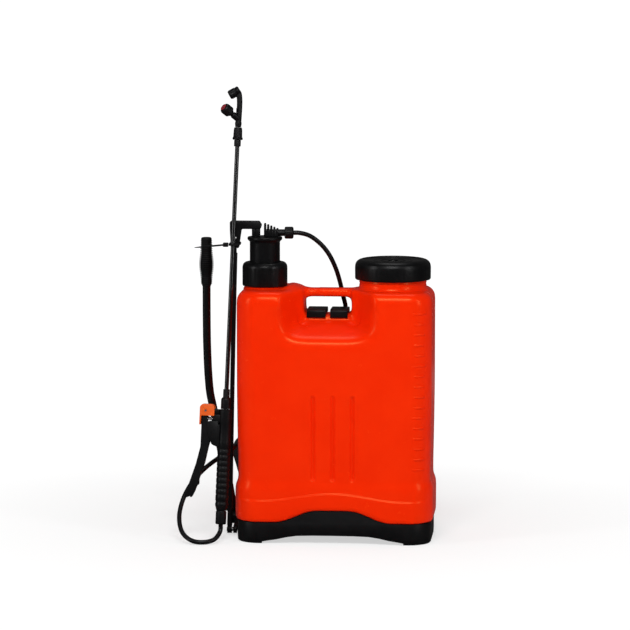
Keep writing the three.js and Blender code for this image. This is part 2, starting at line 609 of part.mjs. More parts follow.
function triggerPieces() {
  const { halfThick, tipLow } = trigger;
  const eyeLeft = pivot.x - pivot.eye;
  const outline = outlineOf([
    [eyeLeft, pivot.z], [eyeLeft, 150], [-53, 116], [-64, 80], [-73.5, tipLow], [-56, tipLow + 3], [-49, 84],
    [-36, 118], [-30, 150], [-24, 176], [-24, 190], [stem.out - slack, 198.5], [stem.out - slack, pivot.z],
  ]);
  const pinHole = bar([pivot.x, -20, pivot.z], [pivot.x, 20, pivot.z], pivot.pin + gap, 12);
  const solid = joined(
    slabY(outline, -halfThick, halfThick),
    bar([pivot.x, -halfThick, pivot.z], [pivot.x, halfThick, pivot.z], pivot.eye),
  );
  const fork = valve.tongueHalf + slack;
  const slot = block(-80, 0, -fork, fork, pivot.z - pivot.eye - 2, pivot.z + 20);
  piece("trigger", without(solid, slot, pinHole), blackPlastic, handPiece);
  const { left, right, low, top, halfThick: half, plate } = latch;
  const cheeks = [-1, 1].map((side) => {
    const [y0, y1] = [side * (half - plate), side * half].sort((a, b) => a - b);
    return block(left, right, y0, y1, low, top);
  });
  const cap = block(left, right, -half, half, pivot.z + pivot.eye + 2, top);
  const edge = block(left, left + plate, -half, half, low - 18, top);
  piece("trigger_latch", without(joined(cap, edge, ...cheeks), pinHole), orangePlastic, handPiece);
}

function lancePieces() {
  const { radius, top, sleeve, sleeveTop } = collar;
  const seat = valve.bodyTop + gap;
  const hole = lance.radius + gap;
  const foot = lance.low - gap;
  const collarProfile = [
    [0, seat], [radius, seat], [radius, top - 1], [radius - 2, top + 2], [sleeve, top + 3], [sleeve, sleeveTop],
    [hole, sleeveTop], [hole, foot], [0, foot],
  ];
  piece("lance_collar", turned(collarProfile, 0, 0, 24), blackPlastic, handPiece);
  const inner = lance.radius - lance.wall;
  const tube = [[inner, lance.low], [lance.radius, lance.low], [lance.radius, lance.top], [inner, lance.top]];
  piece("lance_tube", ring(tube, 0, 0, 14), paintedTube, handPiece);
  const { collet, colletLow, nutLow, nut, nutTop } = nozzle;
  const colletTop = nutLow - gap;
  const colletProfile = [[hole, colletLow], [collet, colletLow], [collet, colletTop], [hole, colletTop]];
  piece("nozzle_collet", ring(colletProfile, 0, 0, 16), blackPlastic, handPiece);
  const nutProfile = [
    [0, nutTop], [nut - 1.5, nutTop], [nut, nutTop - 4], [nut, nutLow + 5], [nut - 1.5, nutLow], [hole, nutLow],
    [hole, lance.top + gap], [0, lance.top + gap],
  ];
  piece("nozzle_nut", turned(nutProfile, 0, 0, 20), blackPlastic, handPiece);
}

// A cap nut on a stub: from start along way, with a bore that clears the stub.
function capNut(root, way, start, radius, length, stub) {
  const along = (distance) => root.clone().addScaledVector(way, distance).toArray();
  const outer = bar(along(start), along(start + length), radius, 20);
  return without(outer, bar(along(start - 5), along(start + length - 6), stub + gap, 16));
}

function nozzlePieces() {
  const upperRoot = new THREE.Vector3(0, 0, upperTip.z);
  const upperWay = new THREE.Vector3(-0.857, 0, -0.515).normalize();
  const sideRoot = new THREE.Vector3(0, 0, sideTip.z);
  const sideWay = new THREE.Vector3(-0.72, -0.45, 0.53).normalize();
  const upperStart = 5;
  const stubEnd = (root, way, start, length) =>
    root.clone().addScaledVector(way, start + length - 6 - gap).toArray();
  const upperEnd = stubEnd(upperRoot, upperWay, upperStart, upperTip.length);
  const sideEnd = stubEnd(sideRoot, sideWay, sideTip.start, sideTip.length);
  const knob = solidOf(new THREE.SphereGeometry(nozzle.pipe + 0.6, 16, 10).translate(0, 0, upperTip.z));
  const upperCap = capNut(upperRoot, upperWay, upperStart, upperTip.radius, upperTip.length, upperTip.stub);
  const body = joined(
    bar([0, 0, nozzle.nutTop + gap], [0, 0, upperTip.z], nozzle.pipe, 16),
    knob,
    bar(upperRoot.toArray(), upperEnd, upperTip.stub, 16),
    bar(sideRoot.toArray(), sideEnd, sideTip.stub, 16),
  );
  const [wide, narrow] = [upperTip.radius + gap, upperTip.stub - gap];
  const clear = capNut(upperRoot, upperWay, upperStart - gap, wide, upperTip.length, narrow);
  piece("nozzle_head", without(body, clear), blackPlastic, handPiece);
  piece("nozzle_cap_upper", upperCap, blackPlastic, handPiece);
  const { start, radius, length, stub } = sideTip;
  piece("nozzle_cap_side", capNut(sideRoot, sideWay, start, radius, length, stub), blackPlastic, handPiece);
  const discFrom = sideRoot.clone().addScaledVector(sideWay, start + length + gap);
  const discTo = discFrom.clone().addScaledVector(sideWay, 2);
  piece("nozzle_disc", bar(discFrom.toArray(), discTo.toArray(), 5.5, 16), redPlastic, handPiece);
}

// ---------------------------------------------------------------- tie, hose and straps
function tiePiece() {
  const { z, height, thick, front, back, tail } = tie;
  const [left, right] = [legLeft(z + height / 2) - 1.4 * gap, legRight(z + height / 2) + 1.4 * gap];
  const [halfX, halfY] = [(right - left) / 2, (back - front) / 2];
  const [midX, midY] = [(left + right) / 2, (front + back) / 2];
  const [low, high] = [z - height / 2, z + height / 2];
  const outside = roundedOutline(halfX + thick, halfY + thick, 5, midX, midY);
  const loop = without(
    upright(outside, low, high),
    upright(roundedOutline(halfX, halfY, 3, midX, midY), low - 5, high + 5),
  );
  const headLeft = left - thick - 7;
  const tailY = front - thick / 2;
  const upwards = new THREE.Vector3(0, 0, 1);
  const solid = joined(
    loop,
    block(headLeft, left - thick / 2, front - 3, front + 5, low - 1.5, high + 1.5),
    ribbon([[headLeft + 1, tailY, z], [headLeft - tail, tailY - 1, z - 6]], upwards, 3.6, thick, 1),
  );
  piece("lance_tie", solid, blackPlastic);
}

// The delivery hose: chamber, behind the handle, down the wearer's side, round the tank, to the valve.
const belowNut = (distance) => lanceFoot.clone().addScaledVector(lanceWay, -distance).toArray();
const hosePoints = [
  [outletNut.right + gap, 0, outlet.z],
  [-74, 0, outlet.z],
  [-54, 4, 591],
  [-34, 10, 576],
  [-18, 17, 556],
  [-5, 27, 528],
  [3, 37, 500],
  [9, 46, 470],
  [13, 57, 446],
  [6, 77, 431],
  [-6, 95, 414],
  [-14, 105, 390],
  [-18, 109, 355],
  [-26, 110, 300],
  [-44, 110, 245],
  [-75, 111, 195],
  [-130, 113, 170],
  [-178, 108, 168],
  [-201, 84, 168],
  [-205, 45, 166],
  [-216, 14, 160],
  [-234, -8, 150],
  [-258, -18, 132],
  [-282, -30, 105],
  [-297, -50, 75],
  [-301, -76, 44],
  [-291, -102, 19],
  [-270, -119, 7],
  [-247, -120, 5],
  [-228, -108, 9],
  belowNut(12),
  belowNut(2 * gap),
];

// One shoulder strap: hook over the handle's sill, padded band, adjuster and lower webbing.
function strapPieces(hand, suffix, hookX, padEnd, bulge) {
  const half = strap.hookWidth / 2;
  const { lip, floor } = handle;
  const back = tank.halfDepth;
  const front = -lip - gap;
  const hook = joined(
    block(hookX - half, hookX + half, front - 5, lip, floor + gap, strap.hookTop),
    block(hookX - half, hookX + half, front - 5, front, floor - 6, strap.hookTop),
  );
  piece("strap_hook_" + suffix, hook, blackPlastic);
  const pad = [
    [hookX, lip + 1.5, floor + 4], [hookX + hand * 2, 60, floor - 13],
    [hookX + hand * 10, back + 1, floor - 33], [hand * 68, back + 32, floor - 65],
    [hand * 95, back + 54, floor - 110], [hand * (padEnd - 18), back + 59, 270],
    [hand * padEnd, back + 50, 215],
  ];
  const width = new THREE.Vector3(1, 0, 0);
  const upper = ribbon(pad.slice(0, 4), width, strap.webWidth - 6, strap.webThick, 12);
  const cushion = ribbon(pad.slice(3), width, strap.padWidth, strap.padThick, 12);
  piece("shoulder_pad_" + suffix, joined(upper, cushion), blackWebbing);
  const [x, y, z] = pad.at(-1);
  const buckle = block(x - 24, x + 24, y - 6, y + 2, z - 22, z - 9.5);
  piece("strap_buckle_" + suffix, buckle, blackPlastic);
  const web = [
    [x, y - 2, z - 23], [x, y - 4, z - 36], [hand * bulge, back + 37, 155], [hand * bulge, back + 26, 120],
    [hand * (lug.x + 6), back + 12, 60], [hand * lug.x, lug.reach + gap + strap.webThick / 2, lug.low],
  ];
  piece("strap_webbing_" + suffix, ribbon(web, width, strap.webWidth, strap.webThick, 14), blackWebbing);
}

tankAndBase();
fillerPieces();
pumpFixedPieces();
chamberPieces();
outletPieces();
armPieces();
leverPieces();
valvePieces();
triggerPieces();
lancePieces();
nozzlePieces();
tiePiece();
strapPieces(-1, "left", -38, tank.halfWidth - 28, tank.halfWidth);
strapPieces(1, "right", 6, tank.halfWidth - 50, tank.halfWidth - 33);

// The origin: the middle of the footprint of everything but the loose hose.
sprayer.updateMatrixWorld(true);
const footprint = new THREE.Box3().setFromObject(sprayer, true).getCenter(new THREE.Vector3());
piece("hose", swept(hosePoints, hose.radius, hose.sides, hose.steps), blackRubber);
sprayer.position.set(-footprint.x, -footprint.y, 0);

export default sprayer;
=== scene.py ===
# %% [markdown]
# A knapsack sprayer: an orange tank with a lever pump, a hose, a spray lance and two shoulder straps.
# Its bodies and joints come from a imported frame, and everything made below is a skin that rides on them.
# So the frame is loaded before anything else.
# %% Load the frame
import math

import bmesh
import bpy
from mathutils import Matrix, Vector


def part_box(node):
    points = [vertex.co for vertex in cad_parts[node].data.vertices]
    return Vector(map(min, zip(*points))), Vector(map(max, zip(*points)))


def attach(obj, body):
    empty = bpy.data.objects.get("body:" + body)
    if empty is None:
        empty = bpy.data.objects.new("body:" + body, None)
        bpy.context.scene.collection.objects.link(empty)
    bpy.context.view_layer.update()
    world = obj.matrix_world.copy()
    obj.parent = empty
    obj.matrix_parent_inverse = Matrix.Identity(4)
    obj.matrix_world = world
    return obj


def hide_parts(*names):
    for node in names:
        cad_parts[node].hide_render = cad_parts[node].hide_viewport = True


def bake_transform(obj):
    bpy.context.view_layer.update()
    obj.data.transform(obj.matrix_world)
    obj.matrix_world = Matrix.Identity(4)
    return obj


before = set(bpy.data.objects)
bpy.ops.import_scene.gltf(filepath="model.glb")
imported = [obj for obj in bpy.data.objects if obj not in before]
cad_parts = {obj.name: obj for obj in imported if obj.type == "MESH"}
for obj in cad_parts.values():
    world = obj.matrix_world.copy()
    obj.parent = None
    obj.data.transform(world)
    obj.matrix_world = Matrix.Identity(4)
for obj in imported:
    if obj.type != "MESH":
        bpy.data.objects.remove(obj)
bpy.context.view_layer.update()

scene = bpy.context.scene

# %% [markdown]
# Every length below is in millimetres from the tank's middle on the floor, as on a workshop drawing.
# The frame knows that middle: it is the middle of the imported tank's box. It is typed in as well, since
# a cloth simulation answers even a rounding in it with other folds. Where the two differ by more than
# a rounding, the frame has moved, and the frame's own middle is taken.
# LOCAL takes such a point to the frame, which is in metres. HAND does the same for the hand piece,
# whose own Z runs up the leaning lance: a straight tool is easier to draw upright and then lean.
# %% Places in the frame
MM = 0.001
ROUNDING = 0.01 * MM
TYPED_MIDDLE = Vector((0.04823943, -0.03217600, 0.0))
tank_lo, tank_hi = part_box("tank")
packed_middle = Vector(((tank_lo[0] + tank_hi[0]) / 2, (tank_lo[1] + tank_hi[1]) / 2, 0.0))
typed_holds = (packed_middle - TYPED_MIDDLE).length < ROUNDING
MIDDLE = TYPED_MIDDLE if typed_holds else packed_middle
LOCAL = Matrix.Translation(MIDDLE) @ Matrix.Scale(MM, 4)
LANCE_FOOT = Vector((-218.2, -90.0, 35.0))
LANCE_WAY = Vector((28.2, 99.0, 825.0)).normalized()
LEAN = Vector((0.0, 0.0, 1.0)).rotation_difference(LANCE_WAY).to_matrix().to_4x4()
HAND = LOCAL @ Matrix.Translation(LANCE_FOOT) @ LEAN
PUMP_X, FILLER_X = -140.0, 110.0
SHAFT_Y, SHAFT_Z = 45.0, 27.0


def at(x, y, z):
    """A point given in millimetres, as a point of the frame."""
    return LOCAL @ Vector((x, y, z))


print("tank's middle", [round(c, 6) for c in MIDDLE], "typed in" if typed_holds else "from the frame")
print("lance leans", round(math.degrees(LANCE_WAY.angle(Vector((0, 0, 1)))), 2), "degrees")

# %% [markdown]
# The sprayer stands upright and its sides look parallel, so the camera stands far off with a long lens.
# It looks from 5 degrees to the right and 7 degrees above the level, which shows the caps' tops as thin ovals.
# %% Camera
camera_data = bpy.data.cameras.new("long_lens")
camera = bpy.data.objects.new("long_lens", camera_data)
scene.collection.objects.link(camera)
camera_data.lens = 200
camera_data.sensor_width = 36
camera_data.clip_end = 60
view_width = 1.2285
reach = view_width * camera_data.lens / camera_data.sensor_width
target = at(-42.06, 0, 435.7)
side_turn, height_turn = math.radians(5), math.radians(7)
back = Vector((
    math.sin(side_turn) * math.cos(height_turn),
    -math.cos(side_turn) * math.cos(height_turn),
    math.sin(height_turn),
))
camera.location = target + back * reach
camera.rotation_mode = "QUATERNION"
camera.rotation_quaternion = back.to_track_quat("Z", "Y")
scene.camera = camera
print("camera", [round(v, 3) for v in camera.location])

# %% [markdown]
# Hose, lever tube, straps and nozzle neck all follow a path through the air. A Bezier curve object
# could carry them, but its handles have to be set one by one. A Catmull-Rom curve goes through every
# point that it is given, which suits a path read off a real object.
# %% Smooth paths
def distances(path):
    """How far along the path each of its points lies."""
    gone = [0.0]
    for a, b in zip(path, path[1:]):
        gone.append(gone[-1] + (b - a).length)
    return gone


def smooth_path(points, steps):
    """Centripetal Catmull-Rom curve through the points, sampled evenly along its length."""
    pts = [Vector(p) for p in points]
    pts = [2 * pts[0] - pts[1]] + pts + [2 * pts[-1] - pts[-2]]
    fine = []
    for p0, p1, p2, p3 in zip(pts, pts[1:], pts[2:], pts[3:]):
        t1 = (p1 - p0).length ** 0.5
        t2 = t1 + (p2 - p1).length ** 0.5
        t3 = t2 + (p3 - p2).length ** 0.5
        for i in range(24):
            t = t1 + (t2 - t1) * i / 24
            a1 = p0 * (t1 - t) / t1 + p1 * t / t1
            a2 = p1 * (t2 - t) / (t2 - t1) + p2 * (t - t1) / (t2 - t1)
            a3 = p2 * (t3 - t) / (t3 - t2) + p3 * (t - t2) / (t3 - t2)
            b1 = a1 * (t2 - t) / t2 + a2 * t / t2
            b2 = a2 * (t3 - t) / (t3 - t1) + a3 * (t - t1) / (t3 - t1)
            fine.append(b1 * (t2 - t) / (t2 - t1) + b2 * (t - t1) / (t2 - t1))
    fine.append(pts[-2])
    gone = distances(fine)
    path, k = [], 0
    for i in range(steps + 1):
        want = gone[-1] * i / steps
        while k < len(gone) - 2 and gone[k + 1] < want:
            k += 1
        share = (want - gone[k]) / max(1e-9, gone[k + 1] - gone[k])
        path.append(fine[k].lerp(fine[k + 1], min(1.0, share)))
    return path


trial = smooth_path([(10, 0, 0), (7.07, 7.07, 0), (0, 10, 0)], 20)
print("a trial bend is", round(distances(trial)[-1], 2), "long, and a quarter circle 15.71")

# %% [markdown]
# A tube's section has to know which way is sideways at each step. frames_along() carries a side and an
# up direction on from step to step, turned as little as possible, so that the tube doesn't twist.
# %% Directions along a path
def heading(path, i):
    return (path[min(i + 1, len(path) - 1)] - path[max(i - 1, 0)]).normalized()


def frames_along(path):
    """A direction, a side and an up vector for each point of a path, without twist."""
    out, side = [], None
    for i, p in enumerate(path):
        way = heading(path, i)
        if side is None:
            side = Vector((0, 1, 0)) if abs(way.y) < 0.8 else Vector((1, 0, 0))
        side = (side - way * side.dot(way)).normalized()
        out.append((p, way, side, way.cross(side)))
    return out


print("at the bend's middle the way is", [round(v, 2) for v in heading(trial, 10)])

# %% [markdown]
# Most moulded pieces start as an outline. A mould has no sharp corners, because plastic doesn't fill them,
# so softened() turns each corner of an outline into a short arc before it is used.
# %% Outlines
def circle(radius, sides, x=0.0, y=0.0):
    turns = [2 * math.pi * k / sides for k in range(sides)]
    return [(x + radius * math.cos(a), y + radius * math.sin(a)) for a in turns]


def rectangle(left, right, low, high):
    return [(left, low), (right, low), (right, high), (left, high)]


def softened(points, radius, segments=3, closed=True):
    """An outline with its corners turned into short arcs."""
    pts = [Vector(p) for p in points]
    out = []
    for i, p in enumerate(pts):
        if not closed and i in (0, len(pts) - 1):
            out.append(tuple(p))
            continue
        before, after = pts[i - 1] - p, pts[(i + 1) % len(pts)] - p
        cut = min(radius, before.length * 0.45, after.length * 0.45)
        if cut < 0.05 or before.angle(after) > math.radians(172):
            out.append(tuple(p))
            continue
        a, b = p + before.normalized() * cut, p + after.normalized() * cut
        for k in range(segments + 1):
            t = k / segments
            out.append(tuple(a * (1 - t) ** 2 + p * 2 * t * (1 - t) + b * t ** 2))
    return out


def smoothstep(low, high, value):
    t = min(1.0, max(0.0, (value - low) / (high - low)))
    return t * t * (3 - 2 * t)


print("a softened square has", len(softened(rectangle(0, 9, 0, 9), 1)), "corners")

# %% [markdown]
# A skin over a row of rings makes what a lathe can't: the tank's flared box, a hose, a strap, a cushion.
# Rings could be bridged pair by pair, but a bridge may twist. Here a flat grid is rolled up instead: each
# row of its corners goes to one ring, and the first and last columns are welded to close the tube.
# Welding mixes up the order of faces and edges, and cloth settles otherwise in another order, so they
# are put in order again.
# %% Skins over rings
def skinned(rings, round_path=False):
    """A closed skin over rings of points, all with as many points; its corners keep the rings' order."""
    rows = rings + rings[:1] if round_path else rings
    count = len(rings[0])
    bm = bmesh.new()
    bmesh.ops.create_grid(bm, x_segments=count, y_segments=len(rows) - 1, size=1)
    corners = list(bm.verts)
    welds = {}
    for number, vert in enumerate(corners):
        row, column = divmod(number, count + 1)
        vert.co = rows[row][column % count]
        home = (row % len(rings)) * (count + 1) + column % count
        if home != number:
            welds[vert] = corners[home]
    bmesh.ops.weld_verts(bm, targetmap=welds)
    bm.verts.index_update()
    bm.faces.sort(key=lambda face: face.verts[0].index)
    if not round_path:
        corners = list(bm.verts)
        bm.faces.new(reversed(corners[:count]))
        bm.faces.new(corners[-count:])
    numbers = {}
    for face in bm.faces:
        for edge in (face.edges[-1], *face.edges[:-1]):
            numbers.setdefault(edge, len(numbers))
    bm.edges.sort(key=lambda edge: numbers[edge])
    bmesh.ops.recalc_face_normals(bm, faces=bm.faces)
    return bm


def swept(path, section):
    """A skin along a path; section(i) gives the ring of (side, up) offsets at step i."""
    rings = []
    for i, (p, _, side, up) in enumerate(frames_along(path)):
        rings.append([p + side * a + up * b for a, b in section(i)])
    return skinned(rings)


trial = swept([Vector((0, 0, z)) for z in range(4)], lambda i: circle(1, 6))
print("a trial tube has", len(trial.faces), "faces")
trial.free()

# %% [markdown]
# Caps, nuts and tubes are round, so a spin makes them from a profile, as a lathe would.
# fluted() also presses shallow flutes for the fingers into the rim. pointing() gives the place for a
# turned shape whose axis isn't upright.
# %% Turned shapes
def turned(profile, steps=48, closed=False, place=None):
    """A profile of (radius, height) spun round Z; closed joins its last point to its first."""
    bm = bmesh.new()
    verts = [bm.verts.new((max(r, 0.0), 0, z)) for r, z in profile]
    edges = [bm.edges.new(pair) for pair in zip(verts, verts[1:])]
    if closed:
        edges.append(bm.edges.new((verts[-1], verts[0])))
    bmesh.ops.spin(
        bm, geom=verts + edges, cent=(0, 0, 0), axis=(0, 0, 1), angle=2 * math.pi, steps=steps, use_merge=True
    )
    bmesh.ops.remove_doubles(bm, verts=bm.verts, dist=1e-4)
    bmesh.ops.recalc_face_normals(bm, faces=bm.faces)
    if place is not None:
        bmesh.ops.transform(bm, matrix=place, verts=bm.verts)
    return bm


def fluted(profile, steps, low, high, radius, count, depth, fade=None, power=1):
    """A turned piece with flutes outside radius, between two heights; fade: starts, full, full till, ends."""
    bm = turned(profile, steps, closed=True)
    for vert in bm.verts:
        r, z = math.hypot(vert.co.x, vert.co.y), vert.co.z
        if r > radius and low < z < high:
            dip = depth * max(0.0, math.cos(count * math.atan2(vert.co.y, vert.co.x))) ** power
            if fade:
                dip *= smoothstep(*fade[:2], z) * (1 - smoothstep(*fade[2:], z))
            vert.co.x *= 1 - dip / r
            vert.co.y *= 1 - dip / r
    return bm


def pointing(origin, way):
    """Places a shape's Z along way, from origin."""
    turn = Vector((0, 0, 1)).rotation_difference(Vector(way).normalized()).to_matrix().to_4x4()
    return Matrix.Translation(Vector(origin)) @ turn


tilted = pointing((0, 0, 0), (1, 0, 0)) @ Vector((0, 0, 1))
print("a piece drawn up Z and pointed along X has its top at", [round(v, 2) for v in tilted])

# %% [markdown]
# Flat pieces, such as the arm and the trigger, are an outline that is extruded. Their rims are bevelled,
# because no moulded edge is a knife's, and an edge that catches light looks real.
# %% Flat shapes
def soften_edges(bm, width, segments=2, angle=40):
    sharp = [e for e in bm.edges if e.is_manifold and e.calc_face_angle(0) > math.radians(angle)]
    bmesh.ops.bevel(
        bm, geom=sharp, offset=width, offset_type="OFFSET", segments=segments, profile=0.5,
        affect="EDGES", clamp_overlap=True, material=-1,
    )
    return bm


def plate(outline, low, high, axis="Y", edge=0.0, segments=2):
    """An outline of two coordinates stretched along the third, with its rims rounded by edge."""
    bm = bmesh.new()
    spots = {
        "X": lambda a, b: (low, a, b),
        "Y": lambda a, b: (a, low, b),
        "Z": lambda a, b: (a, b, low),
    }[axis]
    face = bm.faces.new([bm.verts.new(spots(a, b)) for a, b in outline])
    pulled = bmesh.ops.extrude_face_region(bm, geom=[face])
    shift = Vector([(high - low) if axis == name else 0 for name in "XYZ"])
    verts = [v for v in pulled["geom"] if isinstance(v, bmesh.types.BMVert)]
    bmesh.ops.translate(bm, vec=shift, verts=verts)
    bmesh.ops.recalc_face_normals(bm, faces=bm.faces)
    if edge:
        soften_edges(bm, edge, segments)
    return bm


def box(x0, x1, y0, y1, z0, z1, edge=0.0, segments=2):
    return plate(rectangle(x0, x1, z0, z1), y0, y1, "Y", edge, segments)


trial = box(0, 10, 0, 10, 0, 10, 1)
print("a trial box with soft edges has", len(trial.faces), "faces")
trial.free()

# %% [markdown]
# merged() puts several shells into one mesh, which is enough where one moulding stands on another and
# the seam is a real one. Modifiers need an object, so temporary() makes one of a shape, and cooked()
# takes the shape with its modifiers back.
# %% Joining
def merged(*shapes):
    """Several shapes as one mesh, each still its own shell."""
    bm = bmesh.new()
    for shape in shapes:
        spare = bpy.data.meshes.new("spare")
        shape.to_mesh(spare)
        shape.free()
        bm.from_mesh(spare)
        bpy.data.meshes.remove(spare)
    return bm


def temporary(bm):
    mesh = bpy.data.meshes.new("temporary")
    bm.to_mesh(mesh)
    bm.free()
    obj = bpy.data.objects.new("temporary", mesh)
    scene.collection.objects.link(obj)
    return obj


def removed(obj):
    mesh = obj.data
    bpy.data.objects.remove(obj)
    bpy.data.meshes.remove(mesh)


def cooked(obj):
    """The object's mesh with its modifiers in it, as a bmesh; the object goes."""
    shown = obj.evaluated_get(bpy.context.evaluated_depsgraph_get())
    bm = bmesh.new()
    bm.from_mesh(shown.to_mesh())
    shown.to_mesh_clear()
    removed(obj)
    return bm


trial = merged(box(0, 10, 0, 10, 0, 10), box(4, 6, 4, 6, 10, 14))
print("two merged boxes have", len(trial.faces), "faces")
trial.free()

# %% [markdown]
# Holes and slots are cut with a boolean, the way a drill takes material away. The exact solver is slow
# but keeps flat faces flat, and it copes with faces that lie in one plane.
# %% Cutting
def combined(first, other, operation):
    a, b = temporary(first), temporary(other)
    step = a.modifiers.new("combine", "BOOLEAN")
    step.operation, step.object, step.solver = operation, b, "EXACT"
    bpy.context.view_layer.update()
    bm = cooked(a)
    removed(b)
    bmesh.ops.remove_doubles(bm, verts=bm.verts, dist=1e-3)
    return bm


def cut(shape, *tools):
    for tool in tools:
        shape = combined(shape, tool, "DIFFERENCE")
    return shape


trial = cut(box(0, 10, 0, 10, 0, 10), box(3, 7, -1, 11, 3, 7))
print("a trial box with a hole has a volume of", round(trial.calc_volume(), 1))
trial.free()

# %% [markdown]
# solid() turns a shape into a finished object: it puts the place into the mesh, so that the object itself
# stays at the origin, hides the frame's nodes that it stands for and lets it ride on its body.
# %% Finished objects
def solid(name, bm, material, body, slot, *nodes, place=LOCAL, sharp=38, ride=True):
    """The shape as a finished object that stands for the given nodes and moves with its body."""
    bmesh.ops.transform(bm, matrix=place, verts=bm.verts)
    bmesh.ops.remove_doubles(bm, verts=bm.verts, dist=1e-6)
    bmesh.ops.recalc_face_normals(bm, faces=bm.faces)
    mesh = bpy.data.meshes.new(name)
    bm.to_mesh(mesh)
    bm.free()
    obj = bpy.data.objects.new(name, mesh)
    scene.collection.objects.link(obj)
    mesh.materials.append(material)
    mesh.shade_smooth()
    mesh.set_sharp_from_angle(angle=math.radians(sharp))
    if nodes:
        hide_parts(*nodes)
    if ride:
        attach(obj, body)
    return obj


print("smooth faces meet in a sharp edge past 38 degrees, unless a piece says otherwise")

# %% [markdown]
# Materials are built from noise, because no moulded surface is even. A slow noise shifts the colour,
# a middle one the gloss, as handling does, and a fine one makes the mould's grain.
# Scales are given as the size of one patch in millimetres. Hex colours are turned to linear ones.
# %% Material tools
def linear(code):
    parts = [int(code[i:i + 2], 16) / 255 for i in (1, 3, 5)]
    return tuple(c / 12.92 if c <= 0.04045 else ((c + 0.055) / 1.055) ** 2.4 for c in parts) + (1.0,)


def add(tree, kind, inputs=None, **settings):
    made = tree.nodes.new(kind)
    for key, value in settings.items():
        setattr(made, key, value)
    for key, value in (inputs or {}).items():
        if isinstance(value, bpy.types.NodeSocket):
            tree.links.new(value, made.inputs[key])
        else:
            made.inputs[key].default_value = value
    return made


def blank(name):
    material = bpy.data.materials.new(name)
    material.use_nodes = True
    material.node_tree.nodes.clear()
    return material, material.node_tree


print("half grey in linear light is", round(linear("#808080")[0], 3))

# %% [markdown]
# A grain under about 1 mm doesn't show from this far, so some grains are drawn that coarse. The long
# shallow wave is what blown walls have, where they cooled unevenly; it bends the highlights a little.
# %% Moulded and painted finishes
def finish(name, dark, light, rough, mottle=40.0, grain=0.8, height=0.02, wave=0.0, wave_size=30.0,
           metal=0.0, specular=0.5, coat=0.0, stretch=(1, 1, 1), tint="#FFFFFF"):
    """A surface with a slow colour and gloss change, a fine grain and, when asked, a long shallow wave."""
    material, tree = blank(name)
    where = add(tree, "ShaderNodeTexCoord").outputs["Object"]
    spot = add(tree, "ShaderNodeMapping", {"Vector": where, "Scale": stretch}).outputs["Vector"]
    slow = add(tree, "ShaderNodeTexNoise", {"Vector": spot, "Scale": 1000 / mottle, "Detail": 4.0, "Roughness": 0.6})
    fine = add(tree, "ShaderNodeTexNoise", {"Vector": spot, "Scale": 1000 / grain, "Detail": 2.0, "Roughness": 0.5})
    colour = add(tree, "ShaderNodeValToRGB", {"Fac": slow.outputs["Fac"]})
    colour.color_ramp.elements[0].position, colour.color_ramp.elements[1].position = 0.35, 0.65
    colour.color_ramp.elements[0].color = linear(dark)
    colour.color_ramp.elements[1].color = linear(light)
    scuffs = add(tree, "ShaderNodeTexNoise", {"Vector": spot, "Scale": 5000 / mottle, "Detail": 5.0, "Roughness": 0.7})
    gloss = add(tree, "ShaderNodeMapRange", {
        "Value": scuffs.outputs["Fac"], "From Min": 0.35, "From Max": 0.7, "To Min": rough[0], "To Max": rough[1],
    })
    relief = add(tree, "ShaderNodeBump", {
        "Height": fine.outputs["Fac"], "Strength": 0.6, "Distance": height * MM,
    })
    if wave:
        long = add(tree, "ShaderNodeTexNoise", {"Vector": where, "Scale": 1000 / wave_size, "Detail": 1.0})
        relief = add(tree, "ShaderNodeBump", {
            "Height": long.outputs["Fac"], "Strength": 1.0, "Distance": wave * MM, "Normal": relief.outputs["Normal"],
        })
    surface = add(tree, "ShaderNodeBsdfPrincipled", {
        "Base Color": colour.outputs["Color"], "Roughness": gloss.outputs["Result"],
        "Normal": relief.outputs["Normal"], "Metallic": metal, "Specular IOR Level": specular,
        "Coat Weight": coat, "Coat Roughness": 0.12, "Specular Tint": linear(tint),
    })
    add(tree, "ShaderNodeOutputMaterial", {"Surface": surface.outputs["BSDF"]})
    return material


print("a slow patch of 40 mm has the scale", 1000 / 40)
